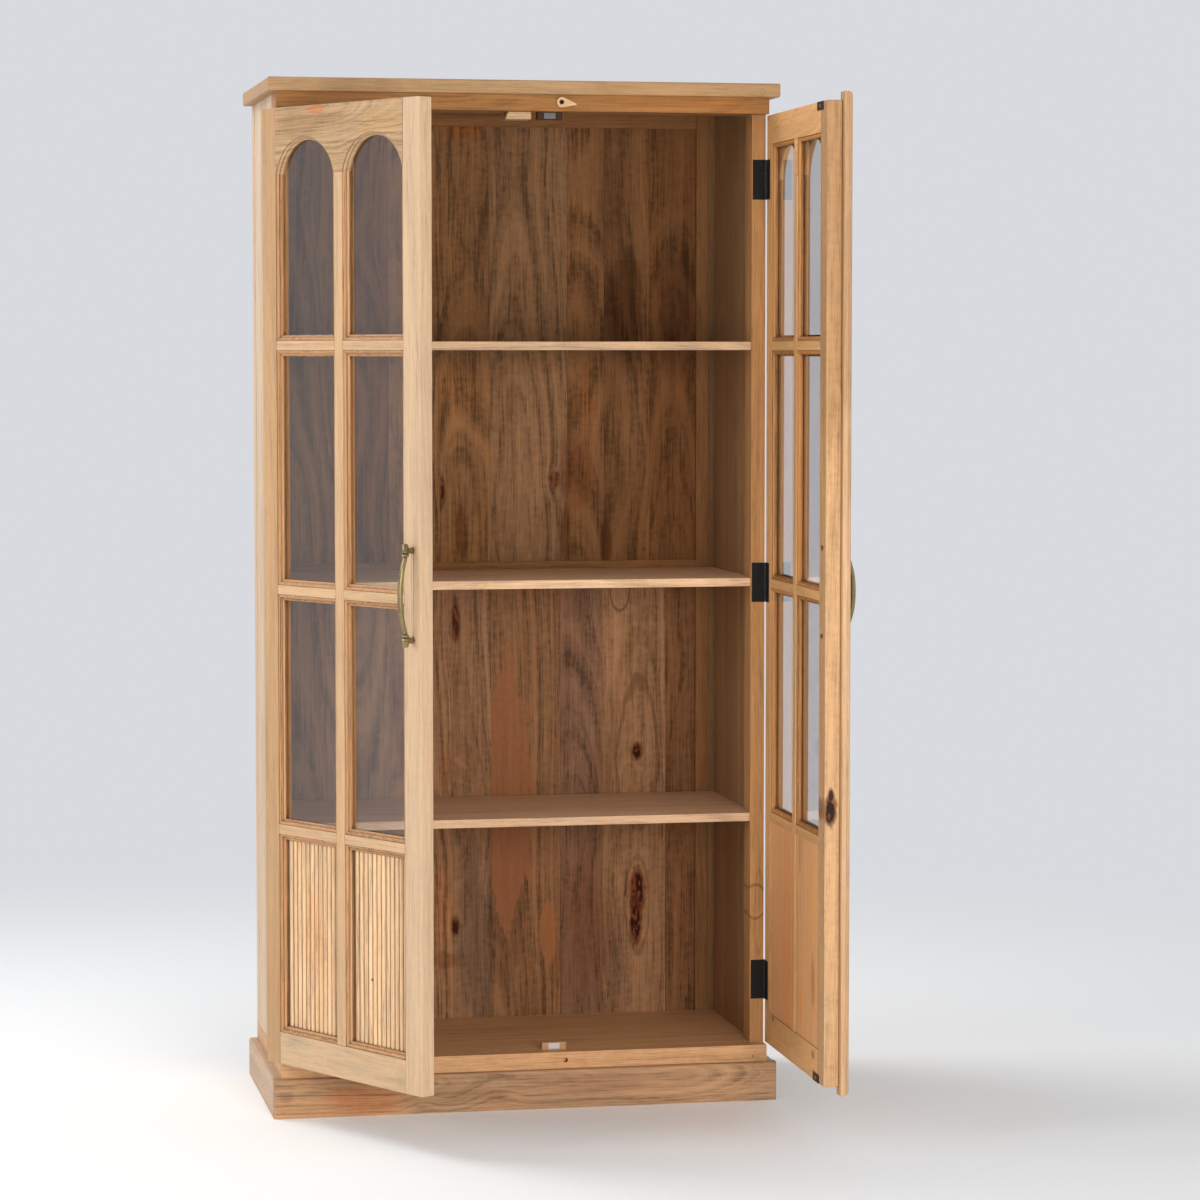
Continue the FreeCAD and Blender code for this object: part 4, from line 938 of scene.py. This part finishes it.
class CABINET_OT_carcass(Dressing, bpy.types.Operator):
    """Finish the top, frieze, posts, plinth and floor board"""

    bl_idname = "cabinet.carcass"
    bl_label = "Carcass"

    def execute(self, context):
        looks = self.looks
        front, side = tuple(looks.front_tone), tuple(looks.side_tone)
        crack = ((0.417, 1.785), 0.006, 0.004, 0.8)
        frieze = tinted(front, (0.73, 0.66, 0.54))
        plinth_side = tinted(side, (0.84, 0.82, 0.84))
        rows = (
            ("top_board", ACROSS, tuple(looks.top_tone), 1.7, {
                "heart": (0.0, 0.03), "lean": 0.02, "eyes": on_front("top_board", (crack,)), "cool": 0.35,
                "depth": 0.2,
            }),
            ("frieze_rail", ACROSS, frieze, 2.3, {"warm": 0.5, "cool": 0.55, "depth": 0.3}),
            ("top_front_rail", ACROSS, shade(front, 0.8), 3.1, {}),
            ("front_plinth_board", ACROSS, tinted(front, (0.92, 1.05, 1.45)), 4.6, {
                "warm": 0.5, "cool": 0.45, "lean": 0.05, "figure": 0.9, "depth": 0.32, **plinth_marks(),
            }),
            ("back_plinth_board", ACROSS, front, 5.2, {}),
            ("left_plinth_board", FRONT_TO_BACK, plinth_side, 6.1, {}),
            ("right_plinth_board", FRONT_TO_BACK, plinth_side, 7.9, {}),
            ("floor_board", ACROSS, tinted(front, (1.34, 1.48, 1.86)), 8.4, {
                "warm": 0.25, "cool": 0.3, "dots": on_front("floor_board", (((0.409, 0.0772), 0.0016),)),
            }),
            ("left_front_post", UPRIGHT, shade(front, 0.95), 9.3, {"warm": 0.5}),
            ("right_front_post", UPRIGHT, front, 10.2, {
                "depth": 0.22, "warm": 0.2,
                "eyes": on_front("right_front_post", (
                    ((0.420, 0.350), 0.020, 0.030, 0.8),
                    ((0.426, 0.330), 0.008, 0.070, 0.4),
                )),
            }),
            # The rear posts' inner faces are darkened with painted shade
            ("left_rear_post", UPRIGHT, side, 11.8, {"inner": CORNER_SHADE}),
            ("right_rear_post", UPRIGHT, side, 12.6, {"inner": CORNER_SHADE}),
        )
        for name, turn, colour, seed, own in rows:
            finish_piece(NODES[name], wood(name + "_wood", middle_of(name), turn, colour, seed, **own))
            eased(NODES[name], looks.edge_ease)
        return {"FINISHED"}


class CABINET_OT_boards(Dressing, bpy.types.Operator):
    """Lay the side boards and the back boards in their frame"""

    bl_idname = "cabinet.boards"
    bl_label = "Side and back boards"

    def execute(self, context):
        looks = self.looks
        side, back = tuple(looks.side_tone), tuple(looks.back_tone)
        ease = looks.board_ease
        for number, name in enumerate(("left_side_boards", "right_side_boards")):
            # The side boards' inner faces are darkened with painted shade
            finish = wood(
                name + "_wood", (0, 0, 0), UPRIGHT, side, 21.0 + number, boards=True, pale=0.4, depth=0.2,
                inner=INSIDE_SHADE,
            )
            board_row(name[:-1] + "_row", name, 1, finish, ease, ("plain", "warm", "plain"))
        # The lower back boards are lighter than the upper ones, partly by their own tone and partly as
        # painted light of the lower compartments
        lower_colour_with_painted_light = tinted(back, (1.22, 1.3, 1.5))
        lower = wood(
            "lower_back_wood", (0, 0, 0), UPRIGHT, lower_colour_with_painted_light, 31.0, **BACK_LOOK, **lower_back_marks()
        )
        kinds = ("plain", "grey", "pale", "grey", "warm", "warm", "dull", "pale", "red")
        board_row("lower_back_panel", "lower_back_boards", 0, lower, ease, kinds, (5,))
        upper = wood("upper_back_wood", (0, 0, 0), UPRIGHT, back, 37.0, **BACK_LOOK, **upper_back_marks())
        kinds = ("plain", "red", "plain", "plain", "grey", "warm", "dusk", "red")
        board_row("upper_back_panel", "upper_back_boards", 0, upper, ease, kinds)
        for number, (name, turn) in enumerate((
            ("back_left_stile", UPRIGHT), ("back_right_stile", UPRIGHT),
            ("back_top_rail", ACROSS), ("back_middle_rail", ACROSS),
        )):
            seed = 41.0 + number * 1.3
            finish = wood(
                name + "_wood", middle_of(name), turn, shade(back, 1.05), seed, gloss=0.66, specular=0.1
            )
            finish_piece(NODES[name], finish)
            eased(NODES[name], looks.edge_ease)
        return {"FINISHED"}


class CABINET_OT_shelves(Dressing, bpy.types.Operator):
    """Finish the three shelves"""

    bl_idname = "cabinet.shelves"
    bl_label = "Shelves"

    def execute(self, context):
        rows = (("lower_shelf", 1.12, 51.0), ("middle_shelf", 1.25, 53.1), ("upper_shelf", 0.96, 55.2))
        for name, factor, seed in rows:
            colour = shade(tuple(self.looks.shelf_tone), factor)
            finish = wood(
                name + "_wood", middle_of(name), ACROSS, colour, seed, lean=0.04, depth=0.22, warm=0.2
            )
            finish_piece(NODES[name], finish)
            eased(NODES[name], self.looks.edge_ease)
        return {"FINISHED"}


class CABINET_OT_doors(Dressing, bpy.types.Operator):
    """Finish the doors' frames, bars, arch rails, mouldings, beads and reeded panels"""

    bl_idname = "cabinet.doors"
    bl_label = "Doors"

    def execute(self, context):
        for side, marks, first_seed in (
            ("left", left_door_marks(), 61.0), ("right", right_door_marks(), 81.0),
        ):
            for number, part in enumerate(DOOR_LOOKS):
                name = f"{side}_{part}"
                turn = DOOR_TURNS[side]
                if part in LYING_PARTS:
                    turn = ACROSS @ turn
                own = {"stain": 0.55, "depth": 0.16, **DOOR_LOOKS[part], **marks.get(part, {})}
                seed = first_seed + number * 1.7
                finish = wood(name + "_wood", middle_of(name), turn, self.colour(side, part), seed, **own)
                finish_piece(NODES[name], finish)
                self.ease(name, part)
        self.cover_strip()
        self.meeting_edge()
        return {"FINISHED"}

    def colour(self, side, part):
        looks = self.looks
        if part in DOOR_TINTS[side]:
            return tinted(tuple(looks.door_tone), DOOR_TINTS[side][part])
        if part == "mouldings":
            return tuple(looks.moulding_tone)
        if part == "glazing_beads":
            return tinted(tuple(looks.moulding_tone), INNER_SHADE_TINT)
        # The right door's reeded panels take a warm tint, partly painted shade like the doors' inner sides
        return tuple(looks.reed_tone) if side == "left" else tinted(tuple(looks.reed_tone), (1.15, 0.9, 0.7))

    def ease(self, name, part):
        if part in ("mouldings", "glazing_beads"):
            eased(NODES[name], self.looks.trim_ease, limit=30, segments=1)
        elif part in ("reeded_panels", "arch_rail"):
            closed(NODES[name], limit=32)
        else:
            eased(NODES[name], self.looks.edge_ease)

    def cover_strip(self):
        """The strip on the right door's meeting edge, with painted shade darkening it towards its top."""
        colour = tinted(tuple(self.looks.door_tone), (0.95, 0.88, 0.8))
        # Painted shade over the strip's upper part
        upper = ((0.452, -0.826, 1.60), 0.08, 0.52, (0.78, 0.74, 0.68), 0.9)
        finish = wood(
            "cover_strip_wood", middle_of("cover_strip"), DOOR_TURNS["right"], colour, 99.0,
            stain=0.5, depth=0.18, patches=(upper,),
        )
        finish_piece(NODES["cover_strip"], finish)
        closed(NODES["cover_strip"], limit=32)

    def meeting_edge(self):
        """The right meeting stile, whose edge is the side that shows most, with its knots and painted shade
        towards its top.
        """
        colour = tinted(tuple(self.looks.door_tone), (0.92, 0.82, 0.68))
        # Painted shade over the edge's upper part
        upper = ((0.447, -0.8135, 1.60), 0.08, 0.52, (0.72, 0.68, 0.62), 0.9)
        knots = (
            ((0.442, -0.8135, 0.566), 0.0078, 0.022, 2.2, 1.0),
            ((0.443, -0.8135, 0.592), 0.004, 0.010, 1.0, 0.9),
        )
        finish = wood(
            "right_meeting_edge_wood", middle_of("right_meeting_stile"), UPRIGHT, colour, 97.0,
            patches=(upper,), stain=0.5, knots=knots, heart=(0.03, 0.04), mottle=0.35, depth=0.2, pale=0.4,
        )
        finish_piece(NODES["right_meeting_stile"], finish)


class CABINET_OT_panes(Dressing, bpy.types.Operator):
    """Glaze the doors"""

    bl_idname = "cabinet.panes"
    bl_label = "Panes"

    def execute(self, context):
        glass = clear_glass("clear_pane_glass", tuple(self.looks.glass_tone))
        for side in ("left", "right"):
            for part in ("upper_panes", "lower_panes"):
                finish_piece(NODES[f"{side}_{part}"], glass)
        return {"FINISHED"}


class CABINET_OT_handles(Dressing, bpy.types.Operator):
    """Finish the bow handles and their screws"""

    bl_idname = "cabinet.handles"
    bl_label = "Handles"

    def execute(self, context):
        brass = old_brass("antique_handle_brass", tuple(self.looks.brass_tone))
        steel = coated_metal("handle_screw_steel", tone(150, 148, 142), 1.0, 0.36)
        for side in ("left", "right"):
            finish_piece(NODES[f"{side}_handle"], brass)
            closed(NODES[f"{side}_handle"], 50)
            finish_piece(NODES[f"{side}_handle_screws"], steel)
            closed(NODES[f"{side}_handle_screws"])
        return {"FINISHED"}


class CABINET_OT_hinges(Dressing, bpy.types.Operator):
    """Finish the hinges and drive their screws"""

    bl_idname = "cabinet.hinges"
    bl_label = "Hinges"

    def execute(self, context):
        black = coated_metal("hinge_black", tone(22, 20, 19), 0.2, 0.5)
        for name in ("hinge_post_leaves", "left_hinge_leaves", "right_hinge_leaves", "hinge_pins"):
            finish_piece(NODES[name], black)
            closed(NODES[name])
        radius = self.looks.screw_radius
        heights = (0.211, 0.9225, 1.634)
        drops = (-0.024, 0.0, 0.024)
        inner, outer = 0.0095, 0.0175
        proud, head = 0.00002, 0.00018
        leaf_sunk = 0.00025
        spots = [(inner if i % 2 else outer, z + drop) for z in heights for i, drop in enumerate(drops)]
        post_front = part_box("right_front_post")[0].y
        hinge_line = HINGES["right"][0].x
        post_places = [
            Vector((sign * (hinge_line - along), post_front - proud, z))
            for sign in (-1, 1) for along, z in spots
        ]
        new_piece(
            "post_leaf_screws", lambda bm: screw_heads(bm, post_places, (0, -1, 0), radius, head),
            black, "carcass",
        )
        for side in ("left", "right"):
            places = [door_point(side, along, proud - leaf_sunk, z) for along, z in spots]
            facing = door_ways(side)[1]
            new_piece(
                f"{side}_leaf_screws", lambda bm: screw_heads(bm, places, facing, radius, head),
                black, f"{side}_door",
            )
        return {"FINISHED"}


class CABINET_OT_fittings(Dressing, bpy.types.Operator):
    """Finish the catches, strike plates, door stop and turn button"""

    bl_idname = "cabinet.fittings"
    bl_label = "Small fittings"

    def execute(self, context):
        black = coated_metal("strike_black", tone(38, 36, 36), 0.6, 0.4)
        dark = coated_metal("button_screw_black", tone(24, 18, 14), 0.1, 0.6)
        bright = coated_metal("bright_steel", tone(176, 176, 178), 1.0, 0.34)
        shell = catch_metal("catch_shell", tone(176, 138, 98), tone(48, 31, 19), 0.0, 0.7)
        magnet = catch_metal("catch_magnet", tone(222, 222, 224), tone(128, 128, 132), 0.5, 0.55)
        for name, finish in (
            ("catch_housings", shell), ("catch_magnets", magnet), ("strike_plates", black),
            ("turn_button_screw", dark),
        ):
            finish_piece(NODES[name], finish)
            closed(NODES[name])
        self.door_stop()
        self.turn_button()
        self.strike_screws(bright)
        return {"FINISHED"}

    def door_stop(self):
        pale = shade(tuple(self.looks.reed_tone), 0.9)
        finish = wood("door_stop_wood", middle_of("door_stop_block"), ACROSS, pale, 111.0)
        finish_piece(NODES["door_stop_block"], finish)
        eased(NODES["door_stop_block"], self.looks.edge_ease)

    def turn_button(self):
        tilt = Matrix.Rotation(math.radians(-8), 3, "Y")
        warm = tinted(tuple(self.looks.door_tone), (0.95, 0.88, 0.78))
        finish = wood("turn_button_wood", middle_of("turn_button"), ACROSS @ tilt, warm, 113.0, stain=0.4)
        finish_piece(NODES["turn_button"], finish)
        closed(NODES["turn_button"])

    def strike_screws(self, steel):
        """A screw head in the middle of each strike plate, sunk so that it clears the catches' magnets."""
        corners = [v.co for v in NODES["strike_plates"].data.vertices]
        half_height = middle_of("strike_plates").z
        sunk, head, radius = 0.00016, 0.00018, 0.0034
        places = []
        for plate in ([c for c in corners if c.z < half_height], [c for c in corners if c.z >= half_height]):
            middle = sum(plate, Vector()) / len(plate)
            places.append(Vector((min(c.x for c in plate) + sunk, middle.y, middle.z)))
        new_piece(
            "strike_screws", lambda bm: screw_heads(bm, places, (-1, 0, 0), radius, head),
            steel, "right_door",
        )


class CABINET_OT_stage(Dressing, bpy.types.Operator):
    """Lay the floor, hang the lamps and set the camera"""

    bl_idname = "cabinet.stage"
    bl_label = "Floor, lamps and camera"

    def execute(self, context):
        self.lay_floor()
        self.light_room()
        self.hang_lamps()
        self.set_camera()
        bpy.context.scene.view_settings.view_transform = "Standard"
        return {"FINISHED"}

    def lay_floor(self):
        """A plain floor that keeps the shadow near the cabinet and fades into the backdrop further off."""
        pale = tuple(self.looks.floor_tone)
        r = Recipe("plain_floor")
        place = r.node("TexCoord").outputs["Object"]
        away = r.reach(r.move(place, (0.0, 0.3, 0.0)))
        grit = r.cloud(place, (60.0, 60.0, 60.0), 3.0)
        base = r.mix(r.between(grit, 0.3, 0.8, 0.0, 0.25), pale, shade(pale, 0.94))
        matt = r.coat(base_color=base, roughness=0.8, normal=r.bump(grit, 0.05, 0.001))
        glow = r.node("Emission", {"Color": opaque(tuple(self.looks.wall_tone)), "Strength": 1.0}).outputs[0]
        fade = r.calc("MULTIPLY", r.between(away, 1.0, 3.4), r.seen())
        material = r.surface(r.node("MixShader", {0: fade, 1: matt, 2: glow}).outputs[0])

        def disc(bm):
            bmesh.ops.create_circle(bm, cap_ends=True, radius=9.0, segments=96)

        new_piece("floor", disc, material, None)

    def light_room(self):
        """Even light from all round, and a pale backdrop where the room itself is seen."""
        r = Recipe("room", bpy.data.worlds.new("room"))
        daylight = (0.96, 0.98, 1.0)
        shine = r.node("Background", {"Color": opaque(daylight), "Strength": self.looks.sky_strength})
        view = r.node("Background", {"Color": opaque(tuple(self.looks.wall_tone))})
        choose = r.node("MixShader", {0: r.seen(), 1: shine.outputs[0], 2: view.outputs[0]})
        bpy.context.scene.world = r.surface(choose.outputs[0], "OutputWorld")

    def hang_lamps(self):
        """Three soft round lamps. The one in front lights the wood and doesn't show in the panes."""
        looks = self.looks
        for name, place, aim, size, power, colour, mirrored in (
            ("front", (0.3, -6.0, 1.25), (0.0, -0.4, 0.6), 2.4, looks.front_power, (1.0, 0.97, 0.93), False),
            ("left", (-6.0, -1.8, 2.2), (-0.3, -0.3, 0.9), 2.6, looks.left_power, (1.0, 0.98, 0.95), True),
            ("high", (-2.6, 1.4, 4.2), (0.3, -0.9, 0.0), 2.8, looks.high_power, (1.0, 0.99, 0.98), True),
        ):
            data = bpy.data.lights.new(name + "_lamp", "AREA")
            data.shape = "DISK"
            data.size = size
            data.energy = power
            data.color = colour
            lamp = bpy.data.objects.new(name + "_lamp", data)
            lamp.location = place
            lamp.visible_glossy = mirrored
            lamp.visible_transmission = mirrored
            lamp.rotation_euler = (Vector(aim) - Vector(place)).to_track_quat("-Z", "Y").to_euler()
            bpy.context.scene.collection.objects.link(lamp)

    def set_camera(self):
        """A long lens left of the middle, at about three quarters of the cabinet's height."""
        data = bpy.data.cameras.new("photo_camera")
        data.lens = 112.41
        data.sensor_width = 36.0
        data.clip_end = 100.0
        camera = bpy.data.objects.new("photo_camera", data)
        camera.location = (-1.14298, -6.84408, 1.32877)
        camera.rotation_euler = Euler((math.radians(86.23), 0.0, math.radians(-11.19)))
        bpy.context.scene.collection.objects.link(camera)
        bpy.context.scene.camera = camera


OPERATORS = (
    CABINET_OT_carcass, CABINET_OT_boards, CABINET_OT_shelves, CABINET_OT_doors, CABINET_OT_panes,
    CABINET_OT_handles, CABINET_OT_hinges, CABINET_OT_fittings, CABINET_OT_stage,
)


class CABINET_PT_looks(bpy.types.Panel):
    """Sizes, colours and the steps that dress the cabinet"""

    bl_label = "Cabinet"
    bl_space_type = "VIEW_3D"
    bl_region_type = "UI"
    bl_category = "Cabinet"

    def draw(self, context):
        for name in CabinetLooks.__annotations__:
            self.layout.prop(context.scene.cabinet_looks, name)
        for operator in OPERATORS:
            self.layout.operator(operator.bl_idname)


CLASSES = (CabinetLooks, *OPERATORS, CABINET_PT_looks)


def register():
    for cls in CLASSES:
        bpy.utils.register_class(cls)
    bpy.types.Scene.cabinet_looks = bpy.props.PointerProperty(type=CabinetLooks)


def unregister():
    del bpy.types.Scene.cabinet_looks
    for cls in reversed(CLASSES):
        bpy.utils.unregister_class(cls)


def main():
    register()
    for step in OPERATORS:
        group, name = step.bl_idname.split(".")
        getattr(getattr(bpy.ops, group), name)()
    bpy.context.view_layer.update()


if __name__ == "__main__":
    main()
